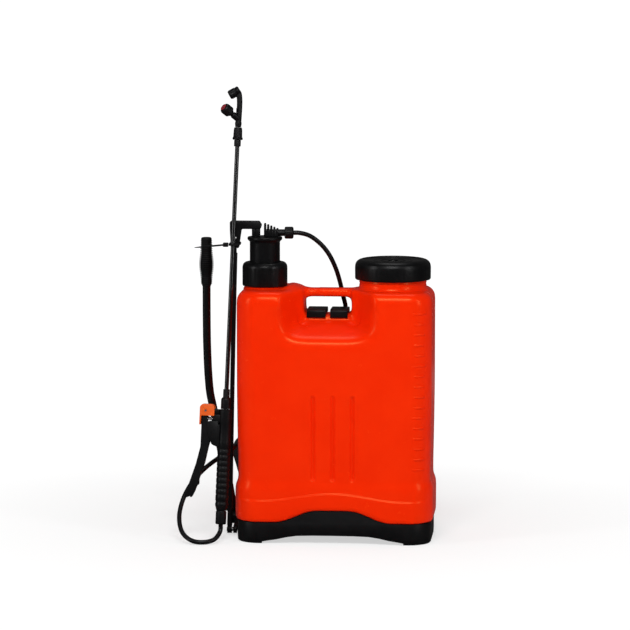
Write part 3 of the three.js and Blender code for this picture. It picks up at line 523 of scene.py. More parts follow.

# %% [markdown]
# Webbing and cushion cloth are woven. Two crossing sine waves make the knots where yarns pass over each other,
# and a fine noise makes the fuzz. The knots also set the colour: the raised knots are painted lighter and the
# hollows between them darker, as painted shade, and a slow noise adds a random tone. They follow flat coordinates,
# so the weave bends with the strap.
# %% Woven cloth
def woven(name, dark, light, pitch, height, sheen):
    """A weave of crossing yarns, laid out on the piece's own flat coordinates in metres."""
    material, tree = blank(name)
    flat = add(tree, "ShaderNodeUVMap", uv_map="flat").outputs["UV"]
    parts = add(tree, "ShaderNodeSeparateXYZ", {"Vector": flat})
    turns = 2 * math.pi / (pitch * MM)
    waves = []
    for axis in ("X", "Y"):
        phase = add(tree, "ShaderNodeMath", {0: parts.outputs[axis], 1: turns}, operation="MULTIPLY")
        waves.append(add(tree, "ShaderNodeMath", {0: phase.outputs[0]}, operation="SINE"))
    knots = add(tree, "ShaderNodeMath", {0: waves[0].outputs[0], 1: waves[1].outputs[0]}, operation="MULTIPLY")
    where = add(tree, "ShaderNodeTexCoord").outputs["Object"]
    fuzz = add(tree, "ShaderNodeTexNoise", {"Vector": where, "Scale": 2500.0, "Detail": 3.0})
    slow = add(tree, "ShaderNodeTexNoise", {"Vector": where, "Scale": 35.0, "Detail": 4.0})
    level = add(tree, "ShaderNodeMath", {0: knots.outputs[0], 1: fuzz.outputs["Fac"]}, operation="ADD")
    # Painted shade: the colour follows the knots, lighter on the raised ones and darker in the hollows between them;
    # the slow noise adds a random tone.
    knot_shade_and_tone = add(tree, "ShaderNodeMath", {0: knots.outputs[0], 1: 0.2, 2: slow.outputs["Fac"]}, operation="MULTIPLY_ADD")
    colour = add(tree, "ShaderNodeValToRGB", {"Fac": knot_shade_and_tone.outputs[0]})
    colour.color_ramp.elements[0].position, colour.color_ramp.elements[1].position = 0.3, 0.7
    colour.color_ramp.elements[0].color = linear(dark)
    colour.color_ramp.elements[1].color = linear(light)
    gloss = add(tree, "ShaderNodeMapRange", {"Value": slow.outputs["Fac"], "To Min": 0.75, "To Max": 0.95})
    relief = add(tree, "ShaderNodeBump", {"Height": level.outputs[0], "Strength": 0.8, "Distance": height * MM})
    surface = add(tree, "ShaderNodeBsdfPrincipled", {
        "Base Color": colour.outputs["Color"], "Roughness": gloss.outputs["Result"],
        "Normal": relief.outputs["Normal"], "Specular IOR Level": 0.25, "Sheen Weight": sheen,
        "Sheen Roughness": 0.5,
    })
    add(tree, "ShaderNodeOutputMaterial", {"Surface": surface.outputs["BSDF"]})
    return material


print("yarns of 1.5 mm turn", round(1 / (1.5 * MM)), "times in a metre")

# %% [markdown]
# One material for each real finish on the sprayer, named for what it is and how it was made. The large
# pieces first: plastics and rubber. All are dielectrics that differ in colour, gloss and grain.
# %% Plastics and rubber
# Blow-moulded HDPE: one strong colour with a soft, waxy gloss. Its highlight is warmed, as on deep orange.
hdpe = finish("blow-moulded orange HDPE", "#F32601", "#F72A02", (0.23, 0.28), 90, 1.6, 0.001, 0.02, 60,
              specular=0.24, tint="#FFD278")
# Injection-moulded polypropylene: matt black from a textured mould, or satin where the mould was polished.
black = finish("moulded black polypropylene", "#08080A", "#0D0D0E", (0.38, 0.5), 25, 1.0, 0.008, specular=0.2)
satin = finish("satin black polypropylene", "#070708", "#0C0C0D", (0.3, 0.4), 25, 1.0, 0.004, specular=0.22)
# Rubber scatters light and hardly shines; extruded hose has a skin that shines a little along its length.
rubber = finish("soft black rubber", "#09090A", "#0F0F10", (0.55, 0.7), 18, 0.9, 0.012, specular=0.2)
hose_skin = finish("extruded black hose", "#08080A", "#0D0D0E", (0.32, 0.44), 30, 1.0, 0.006, specular=0.25)
print("plastics", hdpe.name, black.name, satin.name)

# %% [markdown]
# Tubes are steel. Two are enamelled black, a coat over a dark base; the spring is left bright.
# %% Enamel and steel
# Enamel flows out smooth as it bakes, so tubes carry a thin bright streak, brightest on the lance.
enamel = finish("black enamelled steel", "#070708", "#0C0C0D", (0.2, 0.3), 35, 1.2, 0.003, specular=0.35, coat=0.06)
gloss_enamel = finish("glossy black enamelled tube", "#09090A", "#0E0E0F", (0.14, 0.22), 35, 1.2, 0.002, specular=0.7)
# Drawn steel: fine lines along its length stretch the highlight.
steel = finish("bright steel", "#B9BBBD", "#D4D6D8", (0.22, 0.38), 12, 0.3, 0.006, metal=1.0, stretch=(1, 1, 6))
print("metals", enamel.name, steel.name)

# %% [markdown]
# The small coloured parts are solid-coloured plastics. The cloths have no gloss: fine fibres stand out
# of their yarns and catch the light at the rim, which the sheen gives.
# %% Small parts and cloth
# Uncoloured polypropylene is milky; acetal and nylon are dense and keep their colour to the edge.
natural = finish("natural polypropylene", "#DAD9D2", "#E8E7E1", (0.35, 0.5), 30, 0.8, 0.01)
catch = finish("moulded orange acetal", "#DC540B", "#E8600F", (0.3, 0.45), 15, 0.5, 0.01)
spray_disc = finish("moulded red nylon", "#7E1620", "#96202B", (0.35, 0.5), 10, 0.4, 0.01)
# Yarns of 1.5 mm in the webbing and 0.9 mm in the cushion: dull black with a faint light rim.
webbing = woven("woven black polypropylene webbing", "#08080A", "#151517", 1.5, 0.25, 0.3)
pad_cloth = woven("black padded polyester cloth", "#0D0D0F", "#18181B", 0.9, 0.12, 0.25)
print("cloths", webbing.name, pad_cloth.name)

# %% [markdown]
# The frame's own nodes that stay in view, such as pins and gaskets, keep their mesh and take their finish
# by the slot's name, so that a pin looks right where it shows between two modelled pieces.
# %% Finishes on the frame's nodes
finishes = {
    "orange_tank": hdpe, "black_plastic": black, "black_gloss_plastic": satin, "black_rubber": rubber,
    "hose_rubber": hose_skin, "white_plastic": natural, "lever_paint": enamel, "lance_paint": enamel,
    "steel": steel, "orange_plastic": catch, "red_plastic": spray_disc, "webbing": webbing,
    "pad_fabric": pad_cloth,
}
kept = 0
for node_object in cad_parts.values():
    for spot, present in enumerate(node_object.data.materials):
        if present and present.name in finishes:
            node_object.data.materials[spot] = finishes[present.name]
            kept += 1
print("CAD nodes given a finish", kept)

# %% [markdown]
# The delivery hose leaves the pump's outlet, drops behind the handle, runs down the wearer's side,
# round the tank's corner and up into the valve. It is one round tube swept along a path.
# %% Hose
HOSE_POINTS = [
    (-83.8, 0, 596.5), (-74, 0, 596.5), (-54, 4, 591), (-34, 10, 576), (-18, 17, 556), (-5, 27, 528),
    (3, 37, 500), (9, 46, 470), (13, 57, 446), (6, 77, 431), (-6, 95, 414), (-14, 105, 390),
    (-18, 109, 355), (-26, 110, 300), (-44, 110, 245), (-75, 111, 195), (-130, 113, 170),
    (-178, 108, 168), (-201, 84, 168), (-205, 45, 166), (-216, 14, 160), (-234, -8, 150),
    (-258, -18, 132), (-282, -30, 105), (-297, -50, 75), (-301, -76, 44), (-291, -102, 19),
    (-270, -119, 7), (-247, -120, 5), (-228, -108, 9),
    tuple(LANCE_FOOT - 12 * LANCE_WAY), tuple(LANCE_FOOT - 0.6 * LANCE_WAY),
]
HOSE_RADIUS = 4.5
hose_path = smooth_path(HOSE_POINTS, 260)
hose_bm = swept(hose_path, lambda i: circle(HOSE_RADIUS, 16))
hose = solid("delivery_hose", hose_bm, hose_skin, "tank_unit", "hose_rubber", "hose", ride=False)
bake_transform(hose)

# %% [markdown]
# The sprayer stands on a plain pale floor. It is one large face, a hair below the feet so that no two
# faces lie in the same plane, and it is staging: it isn't part of the sprayer.
# %% Floor
FLOOR_HALF = 12
floor_mesh = bpy.data.meshes.new("floor")
floor_bm = bmesh.new()
bmesh.ops.create_grid(floor_bm, x_segments=1, y_segments=1, size=FLOOR_HALF)
floor_bm.to_mesh(floor_mesh)
floor_bm.free()
floor = bpy.data.objects.new("floor", floor_mesh)
floor.location = (0, 0, -0.0006)
scene.collection.objects.link(floor)
print("floor", 2 * FLOOR_HALF, "m wide")

# %% [markdown]
# Painted board, matt and nearly white. Away from the object the camera sees plain white, through Light
# Path, so that no extra light washes out the orange; near the object the floor keeps the shadow.
# %% Floor's finish
floor_paint, tree = blank("pale studio floor")
patches = add(tree, "ShaderNodeTexNoise", {"Scale": 2.0, "Detail": 2.0})
tint = add(tree, "ShaderNodeValToRGB", {"Fac": patches.outputs["Fac"]})
tint.color_ramp.elements[0].color = linear("#F4F4F4")
tint.color_ramp.elements[1].color = linear("#FAFAFA")
matt = add(tree, "ShaderNodeBsdfDiffuse", {"Color": tint.outputs["Color"], "Roughness": 0.6})
bright = add(tree, "ShaderNodeEmission", {"Color": (1, 1, 1, 1), "Strength": 1.05})
ray = add(tree, "ShaderNodeLightPath")
spot = add(tree, "ShaderNodeTexCoord").outputs["Object"]
away = add(tree, "ShaderNodeVectorMath", {0: spot}, operation="LENGTH")
fade = add(tree, "ShaderNodeMapRange", {
    "Value": away.outputs["Value"], "From Min": 0.35, "From Max": 1.1, "To Min": 0.55, "To Max": 1.0,
})
share = add(tree, "ShaderNodeMath", {
    0: ray.outputs["Is Camera Ray"], 1: fade.outputs["Result"],
}, operation="MULTIPLY")
dim = add(tree, "ShaderNodeBsdfDiffuse", {"Color": (0.12, 0.12, 0.12, 1), "Roughness": 0.6})
ground = add(tree, "ShaderNodeMixShader", {0: ray.outputs["Is Glossy Ray"], 1: matt.outputs[0], 2: dim.outputs[0]})
mixed = add(tree, "ShaderNodeMixShader", {0: share.outputs[0], 1: ground.outputs[0], 2: bright.outputs[0]})
add(tree, "ShaderNodeOutputMaterial", {"Surface": mixed.outputs[0]})
floor_mesh.materials.append(floor_paint)
print("floor's finish", floor_paint.name)

# %% [markdown]
# The world is dim for the object and plain white for the camera. Glossy rays see even less of it,
# because a bright room would turn the black plastic grey.
# %% Surround
world = bpy.data.worlds.new("studio")
world.use_nodes = True
scene.world = world
tree = world.node_tree
tree.nodes.clear()
ray = add(tree, "ShaderNodeLightPath")
BY_LIGHT, BY_REFLECTION = 0.24, 0.07
low_light = add(tree, "ShaderNodeMath", {
    0: ray.outputs["Is Glossy Ray"], 1: BY_REFLECTION - BY_LIGHT, 2: BY_LIGHT,
}, operation="MULTIPLY_ADD")
around = add(tree, "ShaderNodeBackground", {"Color": (1.0, 0.99, 0.98, 1), "Strength": low_light.outputs[0]})
seen = add(tree, "ShaderNodeBackground", {"Color": (1, 1, 1, 1), "Strength": 1.05})
pick = add(tree, "ShaderNodeMixShader", {0: ray.outputs["Is Camera Ray"], 1: around.outputs[0], 2: seen.outputs[0]})
add(tree, "ShaderNodeOutputWorld", {"Surface": pick.outputs[0]})
print("surround", world.name)

# %% [markdown]
# Large lamps give soft highlights, as in a studio tent. The high one in front makes the thin bright
# lines on the tank's shoulder and crease; the low one behind only lights the wearer's side.
# %% Lamps
def lamp(name, place, aim, size, power):
    data = bpy.data.lights.new(name, "AREA")
    data.shape, data.size, data.size_y, data.energy = "RECTANGLE", size[0], size[1], power
    made = bpy.data.objects.new(name, data)
    scene.collection.objects.link(made)
    made.location = place
    made.visible_camera = False
    made.rotation_mode = "QUATERNION"
    made.rotation_quaternion = (Vector(place) - Vector(aim)).to_track_quat("Z", "Y")
    return made


lamp("front_high", (0.15, -2.6, 2.3), (0.0, 0.0, 0.3), (1.5, 0.5), 48)
lamp("left_side", (-2.4, -1.6, 1.2), (0.0, 0.0, 0.35), (0.5, 1.5), 17)
lamp("right_side", (2.4, -1.7, 1.3), (0.0, 0.0, 0.35), (0.5, 1.5), 17)
lamp("above", (0.1, 0.3, 2.6), (0.0, 0.0, 0.4), (1.2, 0.8), 8)
behind = lamp("behind", (0.4, 2.4, 0.32), (0.0, 0.0, 0.3), (1.8, 0.4), 20)
behind.visible_glossy = False
scene.view_settings.view_transform = "Standard"

# %% [markdown]
# The tank is one blow-moulded skin: a rounded box with a flared foot, a bar to carry it by,
# a sloping hollow in front of and behind the bar, and two threaded necks. Its walls lean and round
# everywhere, because air presses hot plastic into the mould. Rings of a rounded box give the body.
# %% Tank body
HALF_W, HALF_D, CORNER, TOP = 190.0, 96.0, 45.0, 490.0
BAR_LEFT, BAR_RIGHT = -61.0, 31.0


def rounded_box_ring(grow, z, corner_steps=14):
    half_w, half_d, radius = HALF_W + grow, HALF_D + 0.7 * grow, CORNER + 0.7 * grow
    ring = []
    for turn, (cx, cy) in enumerate((
        (half_w - radius, half_d - radius), (radius - half_w, half_d - radius),
        (radius - half_w, radius - half_d), (half_w - radius, radius - half_d),
    )):
        for k in range(corner_steps + 1):
            a = math.pi / 2 * (turn + k / corner_steps)
            ring.append((cx + radius * math.cos(a), cy + radius * math.sin(a), z))
    return ring


def seam_height(x):
    rise = min(1.0, max(0.0, (115 - abs(x)) / (115 - 28)))
    return 41.3 + 24 * (0.5 - 0.5 * math.cos(math.pi * rise))


def seam_slab(raise_by, low):
    line = [(x, seam_height(x) + raise_by) for x in range(-300, 301, 6)]
    return [(-300, low)] + line + [(300, low)]


levels = [(2.6, 30), (3.2, 60), (3.4, 100), (3.0, 108), (1.4, 113), (-0.8, 117), (-2.4, 122), (-2.2, 150),
          (-0.8, 230), (0.0, 300), (0.0, 430)]
ROUND = 21.0
levels += [(-ROUND * (1 - math.cos(a)), TOP - ROUND + ROUND * math.sin(a))
           for a in (math.radians(d) for d in range(0, 91, 10))]
tank_bm = skinned([rounded_box_ring(g, z) for g, z in levels])
print("tank rings", len(levels))

# %% [markdown]
# Each hollow is cut with a lofted tool: its stations deepen from the side to the middle, so its walls
# slope and never stand upright. Then the bar is freed, and the gap for the fingers is cut through.
# %% Hollows and handle
SCOOP_LEFT, SCOOP_RIGHT, SCOOP_STEPS = -128, 106, 40
SCOOP_SLOPE, LEDGE_Y, LEDGE_Z, OUTSIDE_Y = 30 / 68, 28, 428, 114
for hand in (-1, 1):
    stations = []
    for k in range(SCOOP_STEPS + 1):
        x = SCOOP_LEFT + (SCOOP_RIGHT - SCOOP_LEFT) * k / SCOOP_STEPS
        share_in = smoothstep(-124, -50, x) * (1 - smoothstep(28, 102, x))
        near = 112 - 84 * share_in
        raised = LEDGE_Z + 26 * (1 - share_in) ** 2
        ledge = raised - SCOOP_SLOPE * (near - LEDGE_Y)
        far = raised - SCOOP_SLOPE * (OUTSIDE_Y - LEDGE_Y)
        corners = ((near, 520), (near, ledge), (OUTSIDE_Y, far - 0.1), (OUTSIDE_Y, 520))
        stations.append([Vector((x, hand * y, z)) for y, z in corners])
    tank_bm = cut(tank_bm, skinned(stations))
    tank_bm = cut(tank_bm, box(BAR_LEFT, BAR_RIGHT, *sorted((hand * 16, hand * 40)), 456, 520))
gap = softened(rectangle(BAR_LEFT, BAR_RIGHT, 440, 473), 10, 4)
tank_bm = cut(tank_bm, plate(gap, -150, 150, "Y"), plate(seam_slab(0, -20), -150, 150, "Y"))
print("handle gap", BAR_RIGHT - BAR_LEFT, "mm")

# %% [markdown]
# A boolean leaves knife edges, which a blown tank doesn't have. A voxel remesh gives even faces all over,
# and smoothing them rounds every edge alike; more passes on the hollows' rims make those softer still.
# %% Soft skin
rough = temporary(tank_bm)
blocks = rough.modifiers.new("blocks", "REMESH")
blocks.mode, blocks.voxel_size = "VOXEL", 3.3
tank_bm = cooked(rough)


def relax(verts, passes):
    for _ in range(passes):
        bmesh.ops.smooth_vert(tank_bm, verts=verts, factor=0.5, use_axis_x=True, use_axis_y=True, use_axis_z=True)


relax(tank_bm.verts, 9)
rim = [v for v in tank_bm.verts if 378 < v.co.z < 458 and abs(v.co.y) > 46 and abs(v.co.x + 10) < 146]
relax(rim, 70)
print("soft skin", len(tank_bm.faces), "faces")

# %% [markdown]
# The front has three stiffening grooves in a shallow panel and an arched crease above the flared foot.
# They are 1 to 4 mm deep, so the faces there are split first and then moved by smooth steps.
# %% Grooves and crease
def crease_height(x):
    return 84 + 15 * (0.5 + 0.5 * math.cos(math.pi * min(1.0, abs(x) / 140)))


def needs_detail(x, y, z):
    grooves = abs(x) < 54 and 112 < z < 302
    return y < -80 and (grooves or (abs(x) < 188 and abs(z - crease_height(x)) < 9))


fine = [e for e in tank_bm.edges if all(needs_detail(*v.co) for v in e.verts)]
bmesh.ops.subdivide_edges(tank_bm, edges=fine, cuts=2, use_grid_fill=True, smooth=0)
for vert in tank_bm.verts:
    x, y, z = vert.co
    if y < -80:
        for middle in (-38, 0, 38):
            across = abs(x - middle)
            along = smoothstep(121, 129, z) * (1 - smoothstep(284, 292, z))
            vert.co.y += 4.2 * along * (1 - smoothstep(0.6, 6.0, across))
        panel = smoothstep(132, 142, z) * (1 - smoothstep(272, 284, z))
        vert.co.y += 0.9 * panel * (1 - smoothstep(44, 52, abs(x)))
        low_edge = 1 - smoothstep(crease_height(x) - 2, crease_height(x) + 3, z)
        vert.co.y -= 2.3 * low_edge * (1 - smoothstep(160, 188, abs(x)))
print("split edges", len(fine))

# %% [markdown]
# Beside the pump's neck the shoulder rises a little and then runs down to the handle's bar, as a ramp.
# A separate wedge would leave a seam, so the skin itself is lifted by smooth steps and relaxed again.
# %% Shoulder ramp
for vert in tank_bm.verts:
    x, y, z = vert.co
    if z > 466:
        from_pump = math.hypot(x - PUMP_X, y)
        lift = 9.0 * smoothstep(45, 52, from_pump) * (1 - smoothstep(-92, -50, x)) if x > PUMP_X else 0.0
        lift *= 1 - smoothstep(14, 52, abs(y))
        vert.co.z += lift * smoothstep(466, 486, z)
ramp = [v for v in tank_bm.verts if v.co.z > 474 and -112 < v.co.x < -34]
relax(ramp, 10)
print("ramp", len(ramp), "corners")

# %% [markdown]
# The necks are turned and stand in openings in the tank's top. Their shallow threads carry the caps,
# and a fillet at the foot joins them to the shoulder. Turned necks stay crisp, where remeshed ones blur.
# %% Necks
open_faces = []
for face in tank_bm.faces:
    c = face.calc_center_median()
    if c.z > TOP - 8 and (math.hypot(c.x - PUMP_X, c.y) < 34 or math.hypot(c.x - FILLER_X, c.y) < 61):
        open_faces.append(face)
bmesh.ops.delete(tank_bm, geom=open_faces, context="FACES")


def neck(x, outer, bore, top, thread, foot):
    """A neck with a fillet at its foot and turns of thread on its outside."""
    side_line = [(outer + foot, TOP - 3.0), (outer + 0.8 * foot, TOP - 0.8), (outer + 0.5 * foot, TOP + 0.8),
                 (outer + 0.25 * foot, TOP + 2.9), (outer + 0.08 * foot, TOP + 5.6), (outer, TOP + 8)]
    height = TOP + 11
    while height < top - 6:
        side_line += [(outer - 0.6, height), (outer + thread, height + 2.2), (outer - 0.6, height + 4.4)]
        height += 8
    profile = side_line + [(outer - 0.8, top - 1.2), (outer - 2, top), (bore, top), (bore, TOP - 6)]
    return turned(profile, 72, place=Matrix.Translation((x, 0, 0)))


tank_bm = merged(tank_bm, neck(FILLER_X, 65.2, 61.8, 530.0, 0.45, 4.5), neck(PUMP_X, 38.3, 34.1, 522.0, 0.6, 4.0))
tank = solid("tank_skin", tank_bm, hdpe, "tank_unit", "orange_tank", "tank", sharp=60)
print("tank faces", len(tank.data.polygons))

# %% [markdown]
# A ladder of raised level marks runs up the tank's front right corner, one for each litre.
# Each mark is a low ridge that follows the corner's round, with its ends run out into the skin.
# A box would stand off the round, so a skin over small sections is laid along it.
# %% Level marks
marks = []
for step in range(16):
    z = 147.5 + 20.2 * step
    grow = -2.2 if z < 160 else (-0.8 if z < 260 else 0.0)
    radius = CORNER + 0.7 * grow
    cx, cy = HALF_W + grow - radius, radius - HALF_D - 0.7 * grow
    span = (9, 54) if step % 5 == 0 else (14, 48)
    rings = []
    for k in range(13):
        a = math.radians(span[0] + (span[1] - span[0]) * k / 12)
        out_way, up = Vector((math.sin(a), -math.cos(a), 0)), Vector((0, 0, 1))
        base_point = Vector((cx, cy, z)) + out_way * (radius - 0.7)
        end = min(1.0, 4.0 * min(k, 12 - k) / 12 + 0.15)
        rings.append([
            base_point + out_way * r * end + up * h * (0.4 + 0.6 * end)
            for r, h in ((0, -3.2), (1.2, -2.4), (2.1, -0.9), (2.1, 0.9), (1.2, 2.4), (0, 3.2))
        ])
    marks.append(skinned(rings))
solid("tank_level_marks", merged(*marks), hdpe, "tank_unit", "orange_tank")
print("level marks", len(marks))

# %% [markdown]
# The base is a black moulding that the tank is pressed into, with an arched seam above and a low arch
# below. It is a hollow shell like the real one: the outside, less a smaller copy of itself.
# %% Base
base_bm = skinned([rounded_box_ring(g, z) for g, z in ((-3.4, 0), (-1.4, 2.2), (-1.0, 12), (-1.0, 80))])
base_bm = combined(base_bm, plate(seam_slab(-0.5, -20), -150, 150, "Y"), "INTERSECT")
inside = skinned([rounded_box_ring(-5.5, z) for z in (8, 80)])
inside = combined(inside, plate(seam_slab(-5, -20), -150, 150, "Y"), "INTERSECT")
arch = [(-139, -5), (-137, 3.5), (-128, 5.2), (-110, 8), (-90, 12.5), (-70, 15.5), (-40, 16.4), (0, 16.6),
        (40, 16.4), (70, 15.5), (90, 12.5), (110, 8), (128, 5.2), (137, 3.5), (139, -5)]
hollow = box(-139, 139, -90, 90, -5, 30)
base_bm = cut(base_bm, inside, plate(arch, -150, 150, "Y"), hollow)
bores = plate(circle(12.9, 40, SHAFT_Y, SHAFT_Z), -240, -160, "X")
base_bm = cut(base_bm, bores)
soften_edges(base_bm, 0.9, 2, 50)
boss = [(9.4, 0), (9.4, 24), (12.7, 24), (13.1, 23.5), (13.1, 0)]
bosses = turned(boss, 40, closed=True, place=pointing((-188.5, SHAFT_Y, SHAFT_Z), (1, 0, 0)))
lugs = [box(hand * 165 - 17, hand * 165 + 17, 86, 103, 22, 36, 1.6) for hand in (-1, 1)]
base = solid("base_moulding", merged(base_bm, bosses, *lugs), black, "tank_unit", "black_plastic", "base", sharp=35)
print("base faces", len(base.data.polygons))

# %% [markdown]
# The filler's screw cap has a shallow dished top, a hub for the air valve and fine grip flutes.
# It is turned from one closed profile, wall and all, so that it looks right lifted off too.
# %% Filler cap
cap_line = [(66.9, 536), (66.9, 510), (67.5, 508.2), (72.2, 508.2), (73.4, 509.4), (73.7, 512), (73.9, 530),
            (73.6, 535), (72.4, 539.5), (70, 543), (66.5, 545.6), (62.5, 547.0), (59.5, 547.4), (57.5, 546.8),
            (56, 545.2), (40, 544.4), (20, 544.1), (3.4, 544.1), (3.4, 538), (60, 538)]
cap_bm = fluted(softened(cap_line, 0.7, 2), 216, 512, 534, 70, 36, 0.55, fade=(511, 514, 528, 534))
hub = turned(softened([(3.4, 546.2), (9, 546.2), (10, 544.0), (3.4, 544.0)], 0.6), 40, closed=True)
rings = [
    turned(softened([(r - 1.2, 544.0), (r - 0.7, 545.0), (r + 0.7, 545.0), (r + 1.2, 544.0)], 0.4), 96, closed=True)
    for r in (24, 38)
]
cap_bm = merged(cap_bm, hub, *rings)
to_filler = LOCAL @ Matrix.Translation((FILLER_X, 0, 0))
cap = solid("filler_screw_cap", cap_bm, satin, "filler_cap", "black_gloss_plastic", "filler_cap",
            place=to_filler, sharp=42)
print("cap", len(cap.data.polygons))

# %% [markdown]
# Under the cap hangs a white strainer basket that catches dirt as the tank is filled. Its rim rests on
# the neck. A spin makes the wall and the hoops, and one small box is turned round for the 24 posts.
# %% Strainer
basket = [(0, 455.4), (50, 455.4), (55, 457.2), (57.8, 462), (57.9, 530.2), (65.3, 530.2), (65.4, 532.3),
          (56.2, 532.3), (56.1, 462.6), (53.5, 459), (49, 457.4), (0, 457.4)]
basket_bm = turned(softened(basket, 0.6, 2, closed=False), 96)
hoops = [
    turned([(57.6, z), (58.3, z + 0.5), (58.3, z + 2.5), (57.6, z + 3)], 64, closed=True) for z in (474, 492, 510)
]
posts = []
for k in range(24):
    post = box(57.4, 58.4, -1.0, 1.0, 463, 528, 0.3, 1)
    bmesh.ops.rotate(post, cent=(0, 0, 0), matrix=Matrix.Rotation(math.radians(15 * k), 3, "Z"), verts=post.verts)
    posts.append(post)
strainer = solid("strainer_cup", merged(basket_bm, *hoops, *posts), natural, "strainer", "white_plastic",
                 "strainer_basket", place=to_filler)
print("strainer", len(strainer.data.polygons))

# %% [markdown]
# A big nut holds the pump in the tank's left neck. It could be cut with 20 round tools, but pressing the
# flutes into a turned wall is quicker, and lets them fade out above and below as in a mould.
# %% Pump nut
to_pump = LOCAL @ Matrix.Translation((PUMP_X, 0, 0))
nut_line = [(39.6, 528), (39.6, 494), (40.2, 493.2), (42.8, 493.2), (43.7, 494.2), (43.9, 496), (43.9, 529),
            (43.2, 533.5), (41.2, 536.8), (38.4, 538.9), (36, 539.6), (31.2, 539.6), (30.5, 538.8), (30.5, 531),
            (37, 530)]
nut_bm = fluted(softened(nut_line, 0.7, 2), 160, 494, 531, 42, 20, 0.7, fade=(495, 498, 526, 531), power=2)
solid("pump_screw_nut", nut_bm, satin, "tank_unit", "black_gloss_plastic", "pump_nut", place=to_pump, sharp=42)
print("nut", round(2 * max(r for r, _ in nut_line), 1), "mm wide")

# %% [markdown]
# Through the nut slides the head of the pressure chamber: a cup with a flange and faint flutes.
# It is turned. Its 14 ribs stand out by half a millimetre only, so they are thin strips set into the
# wall, which is simpler than to raise them out of it.
# %% Chamber head
head_line = [(0, 576), (22.6, 576), (22.6, 520.6), (26.1, 520.4), (26.1, 500.4), (28.6, 500.2), (29.3, 501.2),
             (29.4, 576), (29.7, 579.5), (33.2, 582.6), (33.9, 584), (33.9, 587.2), (33.2, 588.3), (0, 588.3)]
head_bm = turned(softened(head_line, 0.6, 2, closed=False), 96)
flutes = []
for k in range(14):
    turn = math.radians(360 / 14 * k + 8)
    if math.sin(turn) > -0.98:  # the mould's seam in front has no rib
        flute = box(28.9, 29.45, -1.1, 1.1, 542, 576, 0.25, 1)
        bmesh.ops.rotate(flute, cent=(0, 0, 0), matrix=Matrix.Rotation(turn, 3, "Z"), verts=flute.verts)
        flutes.append(flute)
head = solid("chamber_head_moulding", merged(head_bm, *flutes), satin, "pump_chamber", "black_gloss_plastic",
             "chamber_head", place=to_pump)
print("head", len(head.data.polygons))

# %% [markdown]
# On the head stands the outlet: an elbow with five stiffening fins that step down to the hose, and the nut
# that clamps the hose. The fins are separate plates, as they are deep slots in the mould.
# %% Outlet
elbow = [(-1, 588.8), (24, 588.8), (24, 596), (20, 600), (-1, 603)]
elbow_bm = plate(softened(elbow, 2, 3), -7.6, 7.6, "Y", 1.2)
pipe = turned(softened([(0, 6), (6.7, 6), (6.7, 39.6), (0, 39.6)], 0.6, closed=False), 40,
              place=pointing((0, 0, 596.5), (1, 0, 0)))
fins = []
for k in range(5):
    top = 615.0 - 2.4 * k
    outline = softened([(-7.9, 589), (7.9, 589), (7.9, top - 5), (4.5, top), (-4.5, top), (-7.9, top - 5)], 1.8, 3)
    fins.append(plate(outline, -1.2 + 6.0 * k, 2.2 + 6.0 * k, "X", 0.6, 2))
outlet = solid("outlet_bend", merged(elbow_bm, pipe, *fins), black, "pump_chamber", "black_plastic", "outlet_elbow",
               place=to_pump)
nut_ring = softened([(5.2, 0.2), (10.6, 0.2), (11.8, 1.6), (11.8, 14.6), (10.4, 16.8), (5.2, 16.8)], 0.8)
nut_bm = fluted(nut_ring, 96, 2, 14, 11, 16, 0.5)
solid("outlet_screw_nut", nut_bm, black, "pump_chamber", "black_plastic", "outlet_nut",
      place=LOCAL @ pointing((-101.2, 0, 596.5), (1, 0, 0)))
print("outlet", len(outlet.data.polygons))

# %% [markdown]
# The arm lies across the head and carries a forked leg, in which the link hangs on a pin. It is flat, so
# its side view is extruded, and the fork and the pin's hole are cut into it.
# %% Pump arm
PIN_Z = 576.0
leg = [(-208, 617), (-206, 619), (-151, 619), (-146, 611.5), (-148.5, 603.5), (-183.5, 603.5),
       (-186, 601), (-191, 566.6), (-192, 566), (-205.5, 566), (-206.2, 567), (-208, 603)]
arm_bm = plate(softened(leg, 1.6, 3), -7.9, 7.9, "Y", 1.1)
fork = box(-201.7, -195.3, -12, 12, 556, 587.7)
hole = plate(circle(3.2, 24, 0, PIN_Z), -215, -185, "X")
arm_bm = cut(arm_bm, fork, hole)
pegs = [box(-165, -158.6, -6.8, 6.8, 588.8, 604.5, 0.9), box(-157.4, -149.4, -6.8, 6.8, 588.8, 604.5, 0.9)]
arm = solid("pump_rocker_arm", merged(arm_bm, *pegs), black, "pump_chamber", "black_plastic", "pump_arm")
print("arm", len(arm.data.polygons))

# %% [markdown]
# The link carries the crank's pull up to the arm. It leans, so it is a bar swept between the two pins'
# places, slimmer in its middle, with a turned eye at each end and a tongue that fills the fork.
# %% Link
PIN_Y = SHAFT_Y - 50 * math.cos(math.radians(20))
CRANK_Z = SHAFT_Z - 50 * math.sin(math.radians(20))
low_end, high_end = Vector((-210.5, PIN_Y, CRANK_Z)), Vector((-198.5, 0.65, PIN_Z))
rod_path = [low_end.lerp(high_end, t) for t in [0.014 + 0.951 * k / 30 for k in range(31)]]
rod_section = softened(rectangle(-4, 4, -5, 5), 1.6, 3)


def rod_ring(i):
    waist = 0.86 + 0.14 * abs(2 * i / 30 - 1) ** 3
    return [(a, b * waist) for a, b in rod_section]


rod_bm = swept(rod_path, rod_ring)
eye_low = turned(softened(rectangle(4.45, 7.8, -4.4, 4.4), 0.7), 40, closed=True,
                 place=pointing(low_end, (1, 0, 0)))
eye_high = turned(softened(rectangle(5.8, 8.8, -2.9, 2.9), 0.6), 40, closed=True,
                  place=pointing(high_end, (1, 0, 0)))
tongue = box(-201.4, -195.6, -3.2, 4.5, 552.2, 568.6, 0.8)
link = solid("link_bar", merged(rod_bm, eye_low, eye_high, tongue), black, "link", "black_plastic", "link_rod")
print("link", len(link.data.polygons))

